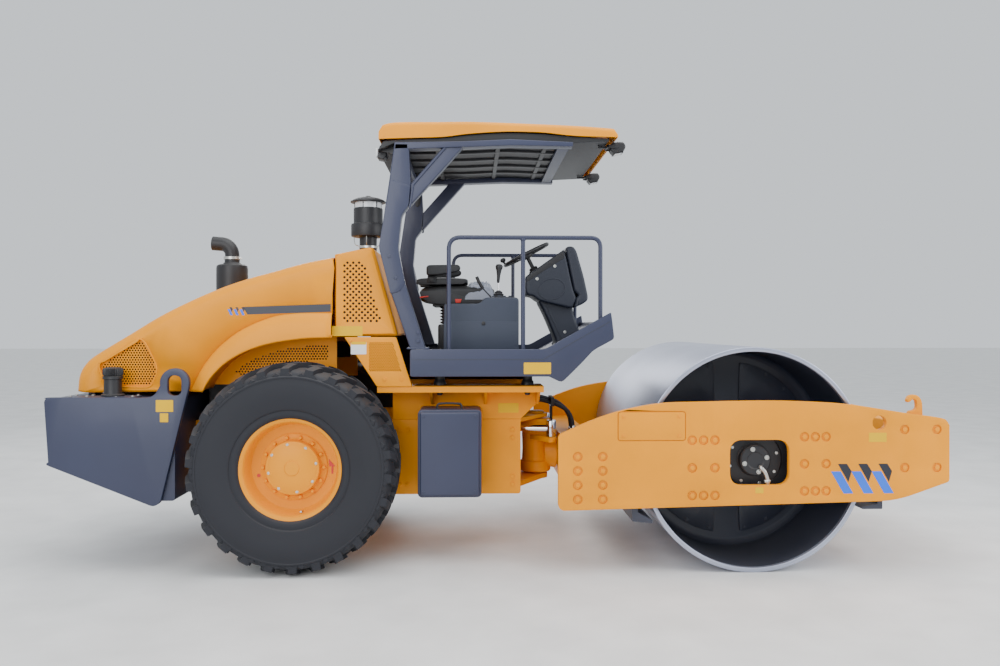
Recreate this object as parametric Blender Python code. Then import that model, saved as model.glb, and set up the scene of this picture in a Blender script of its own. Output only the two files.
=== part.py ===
# A single-drum road roller: rear frame with engine, tyres and open platform, front frame with the drum.
# Metres, +X forward to the drum, +Y left, +Z up. The origin is on the floor, under the middle of the machine.
import math

import bmesh
import bpy
from mathutils import Matrix, Vector

# ---------------------------------------------------------------- driving dimensions
GAP = 0.0003            # between pieces that touch
RUNNING_GAP = 0.0007    # between a pin or a rod and its bore

DRUM_X = 1.735
DRUM_RADIUS = 0.7615
DRUM_WIDTH = 2.13
DRUM_SHELL = 0.032
DRUM_WEB_Y = 0.400      # inner face of each web
DRUM_WEB = 0.030
DRUM_BORE = 0.120
SUPPORT_PLATE = (DRUM_WIDTH / 2 - 0.075, DRUM_WIDTH / 2 - 0.035)    # inner and outer face
MOTOR_END = DRUM_WIDTH / 2 + 0.035
MOTOR_RADIUS = 0.100

AXLE_X = -1.375
TYRE_RADIUS = 0.710
TYRE_WIDTH = 0.520
TYRE_Y = 0.855
RIM_RADIUS = 0.367
RIM_WALL = 0.022
RIM_SEAT = RIM_RADIUS - 0.030       # where the tyre's bead sits
RIM_DISC = 0.025                    # the disc's inner face, in from the tyre's middle
BEAD_INSET = 0.055
HUB_RADIUS = 0.185

PIVOT_X = 0.335
PIVOT_Z = 0.680
PIN_RADIUS = 0.050
HOUSING_RADIUS = 0.120
HOUSING_BOTTOM = 0.520
HOUSING_TOP = 0.940
SHAFT_RADIUS = 0.100
LUG = (0.100, 0.270)    # steering lug, ahead of the pivot and to the side
LUG_TOP = 0.820
ANCHOR = (-0.750, 0.140)
CYLINDER_Z = 0.885
CYLINDER_RADIUS = 0.050
CYLINDER_LENGTH = 0.560
CYLINDER_DEAD = 0.090
ROD_RADIUS = 0.026
ROD_LENGTH = 0.600
EYE_RADIUS = 0.042
EYE_PIN = 0.020

PLATE = 0.045
PLATE_CLEARANCE = 0.040     # from the drum's edge to the side plate
PLATE_INSIDE = DRUM_WIDTH / 2 + PLATE_CLEARANCE
PLATE_OUTSIDE = PLATE_INSIDE + PLATE
HOOK_Y = (PLATE_INSIDE - 0.075, PLATE_INSIDE - 0.035)
WINDOW = (1.5465, 1.9455, 0.605, 0.906)
REAR_BEAM = (0.505, 0.740, 0.490, 0.840)
FRONT_BEAM = (2.690, 2.990, 0.680, 1.020)

CHASSIS_HALF = 0.480
CHASSIS_WALL = 0.030
CHASSIS_FRONT = 0.190
CHASSIS_REAR = -2.180
CHASSIS_BOTTOM = TYRE_RADIUS - 0.280    # clears the axle's differential
CHASSIS_TOP = 0.980
FLANGE_TOP = 1.240
FLANGE = 0.025
GUSSET = 0.020
RAIL_NOSE = 0.330
AXLE_TUBE = 0.110
AXLE_Z = TYRE_RADIUS

HOOD_HALF = 0.760
FLANGE_HALF = HOOD_HALF - 0.015
HOOD_WALL = 0.025
HOOD_LINER_Y = 0.560    # inner wall of the wheel arches
HOOD_FRONT = -1.145
COWL_GAP = 0.008
PRE_CLEANER = (-0.945, -0.350, 0)
COWL_TOP = ((HOOD_FRONT + COWL_GAP, 2.171), (-0.863, 2.229))

DECK_HALF = 0.820
DECK_WALL = 0.025
DECK_TOP = 1.503
DECK_FLOOR = 1.440
DECK_BOTTOM = 1.312
RAMP = ((0.370, DECK_FLOOR), (0.780, 1.665))
RAIL_RADIUS = 0.0155
RAIL_Y = 0.745
RAIL_TOP = 2.290

WHEEL_TILT = Matrix.Rotation(math.radians(-27), 4, "Y")
WHEEL_HUB = Vector((0.262, 0, 2.232))
WHEEL_AXIS = WHEEL_TILT @ Vector((0, 0, 1))
WHEEL_RING = 0.185
WHEEL_GRIP = 0.016

ROPS_Y = 0.700
ROPS_WIDTH = 0.110
ROOF_HALF = 0.790
ROOF_UNDER = [(0.550, 3.003), (0.330, 3.024), (0.105, 3.029), (-0.055, 3.022), (-0.220, 3.008),
              (-0.368, 2.988), (-0.573, 2.980)]
BEAM_TOP = [(-0.709, 2.945), (-0.235, 2.955), (0.105, 2.972), (0.539, 2.955)]
WEIGHT_HALF = HOOD_HALF + 0.190
WEIGHT_PLATE = 0.040
WEIGHT_TOP = 1.175
LIFTING_EYE = (-2.171, 1.282)
LIFTING_RADIUS = 0.098
EYE_SLOT = 0.046
FILLER = (-2.627, -HOOD_HALF - 0.072, 0)
HINGE_X = -2.914
HINGE_Z = 1.215 - GAP

SIDES = {"right": -1, "left": 1}

# ---------------------------------------------------------------- materials

def make_material(name, colour, roughness=0.5, metallic=0.0):
    material = bpy.data.materials.new(name)
    material.use_nodes = True
    material.diffuse_color = (*colour, 1)
    shader = material.node_tree.nodes["Principled BSDF"]
    shader.inputs["Base Color"].default_value = (*colour, 1)
    shader.inputs["Roughness"].default_value = roughness
    shader.inputs["Metallic"].default_value = metallic
    return material


for old in list(bpy.data.objects):
    bpy.data.objects.remove(old)

MATERIALS = {
    "yellow": make_material("yellow_paint", (0.78, 0.38, 0.06), 0.35),
    "blue_grey": make_material("blue_grey_paint", (0.07, 0.08, 0.14), 0.4),
    "plastic": make_material("console_plastic", (0.045, 0.07, 0.09), 0.6),
    "rubber": make_material("tyre_rubber", (0.012, 0.013, 0.015), 0.85),
    "steel": make_material("drum_steel", (0.55, 0.55, 0.58), 0.3, 1.0),
    "black": make_material("black_paint", (0.015, 0.015, 0.018), 0.5),
    "chrome": make_material("rod_chrome", (0.8, 0.8, 0.8), 0.15, 1.0),
    "engine": make_material("engine_grey", (0.12, 0.12, 0.12), 0.6),
    "lamp": make_material("lamp_glass", (0.8, 0.8, 0.8), 0.1),
}

# ---------------------------------------------------------------- shape helpers

def add_object(name, mesh_data, material=None, smooth_angle=None):
    """Turn a bmesh into a named object whose faces point out."""
    bmesh.ops.recalc_face_normals(mesh_data, faces=mesh_data.faces)
    mesh = bpy.data.meshes.new(name)
    mesh_data.to_mesh(mesh)
    mesh_data.free()
    if material:
        mesh.materials.append(MATERIALS[material])
    part = bpy.data.objects.new(name, mesh)
    bpy.context.collection.objects.link(part)
    if smooth_angle:
        mesh.shade_smooth()
        mesh.set_sharp_from_angle(angle=math.radians(smooth_angle))
    return part


def prism(name, outline, start, end, axis="Y", material=None):
    """Extrude an outline: (x, z) along Y, (x, y) along Z, or (y, z) along X."""
    place = {
        "Y": lambda a, b, depth: (a, depth, b),
        "Z": lambda a, b, depth: (a, b, depth),
        "X": lambda a, b, depth: (depth, a, b),
    }[axis]
    mesh_data = bmesh.new()
    low = [mesh_data.verts.new(place(a, b, start)) for a, b in outline]
    high = [mesh_data.verts.new(place(a, b, end)) for a, b in outline]
    count = len(outline)
    mesh_data.faces.new(low)
    mesh_data.faces.new(list(reversed(high)))
    for index in range(count):
        following = (index + 1) % count
        mesh_data.faces.new((low[index], low[following], high[following], high[index]))
    return add_object(name, mesh_data, material)


def box(name, x_range, y_range, z_range, material=None):
    outline = [(x_range[0], z_range[0]), (x_range[1], z_range[0]),
               (x_range[1], z_range[1]), (x_range[0], z_range[1])]
    return prism(name, outline, y_range[0], y_range[1], "Y", material)


def turned(name, profile, centre, axis="Y", segments=48, material=None, closed=False):
    """Turn (radius, height) points about an axis through centre; a closed profile makes a ring."""
    turn = {"Z": Matrix(), "X": Matrix.Rotation(math.pi / 2, 4, "Y"),
            "Y": Matrix.Rotation(-math.pi / 2, 4, "X")}[axis] if isinstance(axis, str) else axis
    mesh_data = bmesh.new()
    rings = []
    for radius, height in profile:
        ring = []
        for step in range(segments):
            angle = 2 * math.pi * step / segments
            point = Vector((radius * math.cos(angle), radius * math.sin(angle), height))
            ring.append(mesh_data.verts.new(Vector(centre) + turn @ point))
        rings.append(ring)
    pairs = list(zip(rings, rings[1:]))
    if closed:
        pairs.append((rings[-1], rings[0]))
    else:
        mesh_data.faces.new(rings[0])
        mesh_data.faces.new(list(reversed(rings[-1])))
    for lower, upper in pairs:
        for step in range(segments):
            following = (step + 1) % segments
            mesh_data.faces.new((lower[step], lower[following], upper[following], upper[step]))
    return add_object(name, mesh_data, material, 35)


def rod(name, start, end, radius, segments=24, material=None):
    """A round bar between two points."""
    span = Vector(end) - Vector(start)
    turn = span.to_track_quat("Z", "Y").to_matrix().to_4x4()
    return turned(name, [(radius, 0.0), (radius, span.length)], start, turn, segments, material)


def tube(name, points, radius, material=None, resolution=2):
    """A bent round bar along points, as a filled curve turned into a mesh."""
    curve = bpy.data.curves.new(name, "CURVE")
    curve.dimensions = "3D"
    curve.bevel_depth = radius
    curve.bevel_resolution = resolution
    curve.use_fill_caps = True
    spline = curve.splines.new("POLY")
    spline.points.add(len(points) - 1)
    for point, place in zip(spline.points, points):
        point.co = (*place, 1)
    guide = bpy.data.objects.new(name + "_curve", curve)
    bpy.context.collection.objects.link(guide)
    bpy.context.view_layer.update()
    mesh_data = bmesh.new()
    mesh_data.from_mesh(guide.to_mesh())
    bmesh.ops.remove_doubles(mesh_data, verts=mesh_data.verts, dist=0.00001)
    guide.to_mesh_clear()
    bpy.data.objects.remove(guide)
    return add_object(name, mesh_data, material, 50)


def combine(part, others, operation):
    """Join or cut with each other object in turn, then remove it."""
    for other in others:
        modifier = part.modifiers.new("combine", "BOOLEAN")
        modifier.operation = operation
        modifier.solver = "EXACT"
        modifier.object = other
        graph = bpy.context.evaluated_depsgraph_get()
        result = bpy.data.meshes.new_from_object(part.evaluated_get(graph))
        part.modifiers.remove(modifier)
        part.data = result
        bpy.data.objects.remove(other)
    return part


def union(part, *others):
    return combine(part, others, "UNION")


def cut(part, *others):
    return combine(part, others, "DIFFERENCE")


def arc(centre, radius, start, end, steps):
    """Points on an arc in degrees, both ends included."""
    points = []
    for step in range(steps + 1):
        angle = math.radians(start + (end - start) * step / steps)
        points.append((centre[0] + radius * math.cos(angle), centre[1] + radius * math.sin(angle)))
    return points


def rounded(x_range, z_range, radius, steps=4):
    """A rectangle outline with round corners."""
    (x0, x1), (z0, z1) = x_range, z_range
    return (arc((x1 - radius, z0 + radius), radius, -90, 0, steps)
            + arc((x1 - radius, z1 - radius), radius, 0, 90, steps)
            + arc((x0 + radius, z1 - radius), radius, 90, 180, steps)
            + arc((x0 + radius, z0 + radius), radius, 180, 270, steps))


def both_sides(build):
    for side, sign in SIDES.items():
        build(side, sign)


def span(sign, near, far):
    """A Y range from near to far off the middle plane, on one side."""
    return tuple(sorted((sign * near, sign * far)))

# ---------------------------------------------------------------- front frame and drum

def build_side_plate(side, sign):
    outline = [(0.401, 0.483), (0.413, 0.456), (0.441, 0.443), (2.670, 0.495), (3.034, 0.621),
               (3.034, 0.980), (3.022, 1.022), (2.976, 1.048), (2.728, 1.083), (2.366, 1.139),
               (2.070, 1.160), (1.777, 1.167), (1.324, 1.160), (1.081, 1.151), (0.837, 1.108),
               (0.613, 1.035), (0.413, 0.948), (0.401, 0.930)]
    y_range = span(sign, PLATE_INSIDE, PLATE_OUTSIDE)
    plate = prism("side_plate_" + side, outline, *y_range, material="yellow")
    through = (y_range[0] - 0.05, y_range[1] + 0.05)
    window = prism("window", rounded(WINDOW[:2], WINDOW[2:], 0.075), *through)
    hole = prism("hole", arc((2.556, 1.018), 0.047, 0, 337.5, 15), *through)
    cut(plate, window, hole)


def build_beams():
    width = (-PLATE_INSIDE + GAP, PLATE_INSIDE - GAP)
    rear = box("rear_beam", REAR_BEAM[:2], width, REAR_BEAM[2:], "yellow")
    bore = rod("bore", (REAR_BEAM[0] - 0.1, 0, PIVOT_Z), (REAR_BEAM[1] + 0.1, 0, PIVOT_Z),
               SHAFT_RADIUS + RUNNING_GAP, 28)
    cut(rear, bore)
    box("front_beam", FRONT_BEAM[:2], width, FRONT_BEAM[2:], "yellow")


def build_hook(side, sign):
    base = FRONT_BEAM[3] + GAP
    outline = [(2.800, base), (2.890, base), (2.890, 1.090), (2.886, 1.150), (2.868, 1.185), (2.835, 1.198),
               (2.802, 1.188), (2.788, 1.165), (2.790, 1.145), (2.806, 1.150), (2.822, 1.165),
               (2.842, 1.163), (2.852, 1.145), (2.852, 1.110), (2.838, 1.096), (2.800, 1.085)]
    prism("lifting_hook_" + side, outline, *span(sign, *HOOK_Y), material="yellow")


def build_scrapers():
    width = (-PLATE_INSIDE + GAP, PLATE_INSIDE - GAP)
    rear = [(0.900, 0.360), (1.035, 0.345), (1.040, 0.365), (0.940, 0.420), (0.940, 0.530), (0.900, 0.530)]
    front = [(2.455, 0.445), (2.460, 0.430), (2.600, 0.430), (2.600, 0.570), (2.565, 0.570), (2.565, 0.465)]
    prism("scraper_rear", rear, *width, material="black")
    prism("scraper_front", front, *width, material="black")


def build_drum_support(side, sign):
    centre = (DRUM_X, 0, DRUM_RADIUS)
    web_face = DRUM_WEB_Y + DRUM_WEB + 0.006
    plate_in, plate_out = SUPPORT_PLATE
    profile = [(MOTOR_RADIUS, MOTOR_END), (MOTOR_RADIUS, plate_out + 0.005),
               (0.200, plate_out + 0.005), (0.200, plate_in - 0.030), (0.165, web_face),
               (DRUM_BORE - RUNNING_GAP, web_face), (DRUM_BORE - RUNNING_GAP, DRUM_WEB_Y - 0.030)]
    if sign < 0:
        profile = [(radius, -height) for radius, height in profile]
    support = turned("drum_support_" + side, profile, centre, "Y", 36, "black")
    plate_shape = rounded((DRUM_X - 0.480, DRUM_X + 0.480), (DRUM_RADIUS - 0.270, DRUM_RADIUS + 0.210), 0.080)
    plate = prism("plate", plate_shape, *span(sign, plate_in, plate_out))
    pieces = [plate]
    for across in (-0.375, 0.375):
        for above in (-0.215, 0.155):
            place = (DRUM_X + across, DRUM_RADIUS + above)
            pieces.append(prism("mount", arc(place, 0.055, 0, 330, 11),
                                *span(sign, plate_out - 0.015, PLATE_INSIDE - GAP)))
    union(support, *pieces)


def build_drum():
    half = DRUM_WIDTH / 2
    inner = DRUM_RADIUS - DRUM_SHELL
    web = DRUM_WEB_Y + DRUM_WEB
    profile = [(DRUM_RADIUS, half), (inner, half), (inner, web), (DRUM_BORE, web), (DRUM_BORE, DRUM_WEB_Y),
               (inner, DRUM_WEB_Y), (inner, -DRUM_WEB_Y), (DRUM_BORE, -DRUM_WEB_Y), (DRUM_BORE, -web),
               (inner, -web), (inner, -half), (DRUM_RADIUS, -half)]
    turned("drum", profile, (DRUM_X, 0, DRUM_RADIUS), "Y", 56, "steel", closed=True)

# ---------------------------------------------------------------- articulation and steering

def build_yoke():
    profile = [(HOUSING_RADIUS, HOUSING_BOTTOM), (HOUSING_RADIUS, HOUSING_TOP)]
    yoke = turned("yoke", profile, (PIVOT_X, 0, 0), "Z", 24, "yellow")
    shaft = rod("shaft", (PIVOT_X + 0.05, 0, PIVOT_Z), (REAR_BEAM[1] + 0.02, 0, PIVOT_Z), SHAFT_RADIUS, 28)
    flange = rod("flange", (REAR_BEAM[0] - 0.040, 0, PIVOT_Z), (REAR_BEAM[0] - 0.010, 0, PIVOT_Z), 0.135, 28)
    lug_x = PIVOT_X + LUG[0]
    tip = LUG[1]
    plate_outline = [(PIVOT_X - 0.060, -0.080), (lug_x - 0.020, -tip - 0.040), (lug_x + 0.030, -tip - 0.030),
                     (lug_x + 0.045, -tip), (lug_x + 0.012, 0), (lug_x + 0.045, tip),
                     (lug_x + 0.030, tip + 0.030), (lug_x - 0.020, tip + 0.040), (PIVOT_X - 0.060, 0.080)]
    arms = prism("arms", plate_outline, LUG_TOP - 0.040, LUG_TOP, "Z")
    union(yoke, shaft, flange, arms)
    bore = turned("bore", [(PIN_RADIUS + RUNNING_GAP, 0.2), (PIN_RADIUS + RUNNING_GAP, 1.2)],
                  (PIVOT_X, 0, 0), "Z", 24)
    cut(yoke, bore)


def build_cylinder(side, sign):
    anchor = Vector((PIVOT_X + ANCHOR[0], sign * ANCHOR[1], CYLINDER_Z))
    lug = Vector((PIVOT_X + LUG[0], sign * LUG[1], CYLINDER_Z))
    along = (lug - anchor).normalized()
    length = (lug - anchor).length
    low = LUG_TOP + GAP
    high = 2 * CYLINDER_Z - LUG_TOP - GAP
    barrel = rod("cylinder_" + side, anchor + along * 0.020, anchor + along * CYLINDER_LENGTH,
                 CYLINDER_RADIUS, 20, "black")
    eye = turned("eye", [(EYE_RADIUS, low), (EYE_RADIUS, high)], (anchor.x, anchor.y, 0), "Z", 20)
    union(barrel, eye)
    bore = rod("bore", anchor + along * CYLINDER_DEAD, anchor + along * (CYLINDER_LENGTH + 0.1),
               ROD_RADIUS + RUNNING_GAP, 20)
    pin_hole = turned("pin_hole", [(EYE_PIN + RUNNING_GAP, 0.2), (EYE_PIN + RUNNING_GAP, 1.2)],
                      (anchor.x, anchor.y, 0), "Z", 20)
    cut(barrel, bore, pin_hole)
    piston = rod("rod_" + side, anchor + along * (length - ROD_LENGTH), lug - along * 0.010,
                 ROD_RADIUS, 20, "chrome")
    eye_edge = EYE_RADIUS - 0.004
    rod_eye = turned("eye", [(eye_edge, low), (eye_edge, high)], (lug.x, lug.y, 0), "Z", 20)
    union(piston, rod_eye)

# ---------------------------------------------------------------- rear frame

def build_chassis():
    outline = [(CHASSIS_REAR, 0.560), (-1.950, CHASSIS_BOTTOM), (CHASSIS_FRONT, CHASSIS_BOTTOM),
               (CHASSIS_FRONT, CHASSIS_TOP), (CHASSIS_REAR, CHASSIS_TOP)]
    inner = CHASSIS_HALF - CHASSIS_WALL
    chassis = prism("chassis", outline, *span(-1, inner, CHASSIS_HALF), material="yellow")
    pieces = [prism("other_wall", outline, *span(1, inner, CHASSIS_HALF))]
    reach = (-inner - 0.010, inner + 0.010)
    pieces.append(box("floor", (-1.950, -0.480), reach, (CHASSIS_BOTTOM, CHASSIS_BOTTOM + 0.030)))
    pieces.append(box("rear_wall", (CHASSIS_REAR, CHASSIS_REAR + 0.030), reach, (0.560, CHASSIS_TOP)))
    ear = [(-0.250, -inner - 0.010), (CHASSIS_FRONT - 0.020, -inner - 0.010), (PIVOT_X + 0.040, -0.095)]
    nose = arc((PIVOT_X, 0), 0.095, -60, 60, 8)
    ear_outline = ear[:2] + nose + [(CHASSIS_FRONT - 0.020, inner + 0.010), (-0.250, inner + 0.010)]
    pieces.append(prism("upper_ear", ear_outline, HOUSING_TOP + 0.010, HOUSING_TOP + 0.039, "Z"))
    pieces.append(prism("lower_ear", ear_outline, HOUSING_BOTTOM - 0.050, HOUSING_BOTTOM - 0.010, "Z"))
    upper_pin = (HOUSING_TOP - 0.080, HOUSING_TOP + 0.060)
    lower_pin = (HOUSING_BOTTOM - 0.060, HOUSING_BOTTOM + 0.080)
    for low, high in (upper_pin, lower_pin):
        pieces.append(turned("pin", [(PIN_RADIUS, low), (PIN_RADIUS, high)], (PIVOT_X, 0, 0), "Z", 24))
    anchor_x = PIVOT_X + ANCHOR[0]
    pieces.append(box("anchor_plate", (anchor_x - 0.070, anchor_x + 0.070), reach,
                      (LUG_TOP - 0.040, LUG_TOP)))
    for sign in SIDES.values():
        pin_centre = (anchor_x, sign * ANCHOR[1], 0)
        pieces.append(turned("pin", [(EYE_PIN, LUG_TOP - 0.020), (EYE_PIN, CYLINDER_Z + 0.070)],
                             pin_centre, "Z", 20))
    union(chassis, *pieces)
    tunnel = rod("tunnel", (AXLE_X, -1, AXLE_Z), (AXLE_X, 1, AXLE_Z), AXLE_TUBE + GAP, 24)
    cut(chassis, tunnel)


def build_rail(side, sign):
    """The rail on the chassis wall that carries the platform: a web, a flange and three gussets."""
    foot = CHASSIS_TOP + GAP
    web = [(-0.750, foot), (CHASSIS_FRONT, foot), (RAIL_NOSE, 1.115), (RAIL_NOSE, FLANGE_TOP),
           (-0.750, FLANGE_TOP)]
    rail = prism("platform_rail_" + side, web, *span(sign, CHASSIS_HALF - CHASSIS_WALL, CHASSIS_HALF),
                 material="yellow")
    under = FLANGE_TOP - FLANGE
    flange = box("flange", (-0.835, RAIL_NOSE + 0.010), span(sign, CHASSIS_HALF - CHASSIS_WALL, FLANGE_HALF),
                 (under, FLANGE_TOP))
    gussets = []
    for x in (-0.470, -0.080, RAIL_NOSE - 0.030):
        gusset = [(sign * (CHASSIS_HALF - 0.010), under + 0.015), (sign * (CHASSIS_HALF - 0.010), 1.100),
                  (sign * (FLANGE_HALF - 0.030), under + 0.015)]
        gussets.append(prism("gusset", gusset, x, x + GUSSET, "X"))
    union(rail, flange, *gussets)


def build_axle():
    rim_face = TYRE_Y - RIM_DISC - RUNNING_GAP
    profile = [(0.095, -rim_face), (0.095, -0.700), (0.170, -0.700), (0.170, -0.560), (AXLE_TUBE, -0.520),
               (AXLE_TUBE, -0.300), (0.210, -0.160), (0.210, 0.160), (AXLE_TUBE, 0.300), (AXLE_TUBE, 0.520),
               (0.170, 0.560), (0.170, 0.700), (0.095, 0.700), (0.095, rim_face)]
    turned("rear_axle", profile, (AXLE_X, 0, AXLE_Z), "Y", 24, "black")


def build_engine():
    block = box("engine_block", (-2.140, -1.300), (-0.330, 0.330), (CHASSIS_TOP + 0.010, 1.560), "engine")
    reach = (-CHASSIS_HALF + 0.005, CHASSIS_HALF - 0.005)
    height = (CHASSIS_TOP + GAP, CHASSIS_TOP + 0.060)
    feet = [box("foot", (x, x + 0.100), reach, height) for x in (-2.050, -1.500)]
    union(block, *feet)


def build_counterweight():
    inner = WEIGHT_HALF - WEIGHT_PLATE
    side = [(-3.034, 0.738), (-2.310, 0.446), (-2.265, 0.476), (-2.063, 1.225), (-2.070, 1.255)]
    eye_x, eye_z = LIFTING_EYE
    side += arc(LIFTING_EYE, LIFTING_RADIUS, -5, 185, 12)
    side += [(-2.300, 1.215), (-2.368, 1.181), (-2.996, 1.185), (-3.026, 1.175), (-3.034, 1.155)]
    weight = prism("counterweight", side, -WEIGHT_HALF, -inner, material="blue_grey")
    other = prism("other_plate", side, inner, WEIGHT_HALF)
    block = [(-3.025, 0.760), (-2.330, 0.480), (CHASSIS_REAR - GAP, 0.480), (CHASSIS_REAR - GAP, WEIGHT_TOP),
             (-3.025, WEIGHT_TOP)]
    body = prism("body", block, -inner - 0.01, inner + 0.01)
    block_height = (WEIGHT_TOP - 0.01, HINGE_Z)
    blocks = [box("hinge", (HINGE_X - 0.020, HINGE_X + 0.060), span(sign, 0.480, 0.600), block_height)
              for sign in SIDES.values()]
    union(weight, other, body, *blocks)
    slot = prism("slot", rounded((eye_x - EYE_SLOT, eye_x + EYE_SLOT), (eye_z - 0.086, eye_z + 0.050),
                                 EYE_SLOT - 0.0005, 6), -WEIGHT_HALF - 0.1, WEIGHT_HALF + 0.1)
    cut(weight, slot)


def build_filler():
    base = WEIGHT_TOP + GAP
    profile = [(0.075, base), (0.075, base + 0.015), (0.058, base + 0.015), (0.058, 1.330), (0.066, 1.330),
               (0.066, 1.375), (0.050, 1.385)]
    turned("filler_cap", profile, FILLER, "Z", 24, "black")


def build_side_box(side, sign):
    outline = rounded((-0.546, -0.102), (0.469, 1.080), 0.030, 3)
    prism("side_box_" + side, outline, *span(sign, CHASSIS_HALF + GAP, 0.835), material="blue_grey")


def hood_outline():
    """The hood's side view: front edge, curved top, rear edge, foot and wheel arch."""
    top = [(-1.145, 2.141), (-1.352, 2.099), (-1.573, 2.037), (-1.750, 1.987), (-1.940, 1.920),
           (-2.124, 1.841), (-2.343, 1.731), (-2.561, 1.598), (-2.779, 1.464), (-2.856, 1.400),
           (-2.900, 1.321), (-2.914, 1.215)]
    arch = [(-2.036, 1.215), (-1.995, 1.290), (-1.948, 1.342), (-1.890, 1.402), (-1.816, 1.452),
            (-1.730, 1.497), (-1.639, 1.530), (-1.550, 1.555), (-1.462, 1.568), (-1.350, 1.582),
            (-1.241, 1.590), (-1.145, 1.590)]
    return top, arch


def build_hood():
    top, arch = hood_outline()
    foot = arch[0][1]
    front = HOOD_FRONT
    hood = prism("hood", top + arch, -HOOD_HALF, HOOD_HALF, material="yellow")
    centre = prism("centre", top + [(-2.200, foot), (front, foot)], -HOOD_LINER_Y, HOOD_LINER_Y)
    union(hood, centre)
    inside_top = [(x + 0.012, z - HOOD_WALL) for x, z in top[:-2]]
    inside_top[0] = (front + 0.1, inside_top[0][1] + 0.015)
    inside_rear = [(top[-2][0] + HOOD_WALL, top[-2][1] - 0.01), (top[-1][0] + HOOD_WALL, foot - 0.1)]
    narrow = HOOD_LINER_Y - HOOD_WALL
    core = prism("core", inside_top + inside_rear + [(front + 0.1, foot - 0.1)], -narrow, narrow)
    lift = HOOD_WALL
    roof_line = [(x, z + lift) for x, z in arch]
    roof_line[0] = (roof_line[0][0] - lift, foot - 0.1)
    roof_line[1] = (roof_line[1][0] - 0.020, roof_line[1][1] - 0.005)
    roof_line[-1] = (front + 0.1, roof_line[-1][1])
    wide = HOOD_HALF - HOOD_WALL
    shoulders = prism("shoulders", inside_top + inside_rear + roof_line, -wide, wide)
    cut(hood, core, shoulders)


def build_exhaust():
    centre = (-2.050, 0, 0)
    stack = turned("exhaust_stack", [(0.120, 1.700), (0.120, 2.148), (0.075, 2.160), (0.075, 2.230)],
                   centre, "Z", 24, "black")
    top = [(x, z + 2 * GAP) for x, z in hood_outline()[0] if z > 1.700]
    cut(stack, prism("below", top + [(-2.350, 1.650), (-1.145, 1.650)], -0.2, 0.2))
    bend = [(centre[0] - 0.085 + 0.085 * math.cos(math.radians(angle)), 0,
             2.225 + 0.085 * math.sin(math.radians(angle))) for angle in range(0, 91, 15)]
    pipe = tube("pipe", bend + [(centre[0] - 0.130, 0, 2.310)], 0.055, resolution=3)
    union(stack, pipe)


def build_cowl():
    """The air intake box between the hood and the operator's platform."""
    front_low = (-0.689, 1.592)
    outline = [(HOOD_FRONT + COWL_GAP, 1.592), front_low, COWL_TOP[1], COWL_TOP[0]]
    cowl = prism("intake_cowl", outline, -HOOD_HALF, HOOD_HALF, material="yellow")
    wall = 0.030
    inner = [(HOOD_FRONT + COWL_GAP - 0.1, 1.592 + wall), (-0.689 - 1.2 * wall, 1.592 + wall),
             (-0.863 - 0.9 * wall, 2.229 - wall), (HOOD_FRONT + COWL_GAP - 0.1, 2.171 - wall - 0.020)]
    hollow = prism("hollow", inner, -HOOD_HALF + wall, HOOD_HALF - wall)
    cut(cowl, hollow)


def build_lower_panel(side, sign):
    foot = FLANGE_TOP + GAP
    outline = [(-1.063, 1.592 - GAP), (-0.700, 1.592 - GAP), (-0.590, foot), (-0.835, foot)]
    prism("lower_panel_" + side, outline, *span(sign, HOOD_HALF - 0.040, HOOD_HALF), material="yellow")


def build_pre_cleaner():
    profile = [(0.065, 2.050), (0.065, 2.329), (0.127, 2.331), (0.127, 2.428), (0.108, 2.430), (0.108, 2.544),
               (0.090, 2.548), (0.090, 2.585), (0.132, 2.587), (0.128, 2.603), (0.050, 2.631)]
    cleaner = turned("pre_cleaner", profile, PRE_CLEANER, "Z", 24, "black")
    lid = [COWL_TOP[0], COWL_TOP[1]]
    cut(cleaner, prism("below", [(x, z + 2 * GAP) for x, z in lid] + [(-0.8, 1.9), (-1.2, 1.9)], -0.5, -0.2))

# ---------------------------------------------------------------- platform and canopy

def build_deck():
    skirt = [(-0.600, DECK_BOTTOM), (0.370, DECK_BOTTOM), (0.459, 1.269), (0.592, 1.399), (0.681, 1.495),
             (0.829, 1.575), (0.815, 1.700), (0.808, 1.760), (0.341, DECK_TOP), (-0.600, DECK_TOP)]
    deck = prism("deck", skirt, -DECK_HALF, DECK_HALF, material="blue_grey")
    inner = DECK_HALF - DECK_WALL
    above = prism("above", [(-0.700, DECK_FLOOR), RAMP[0], RAMP[1], (0.780, 1.9),
                            (-0.700, 1.9)], -inner, inner)
    underside = DECK_FLOOR - 0.030
    below = prism("below", [(-0.555, 1.2), (0.459, 1.2), (0.459, 1.299), (0.575, 1.415), (0.670, 1.520),
                            (0.770, 1.575), (0.740, 1.605), (0.380, underside), (-0.555, underside)],
                  -inner, inner)
    cut(deck, above, below)
    feet = [(x, sign * 0.600) for x in (-0.400, 0.233) for sign in SIDES.values()]
    mounts = [rod("mount", (x, y, FLANGE_TOP + GAP), (x, y, DECK_FLOOR - 0.020), 0.045, 20) for x, y in feet]
    union(deck, *mounts)


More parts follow.
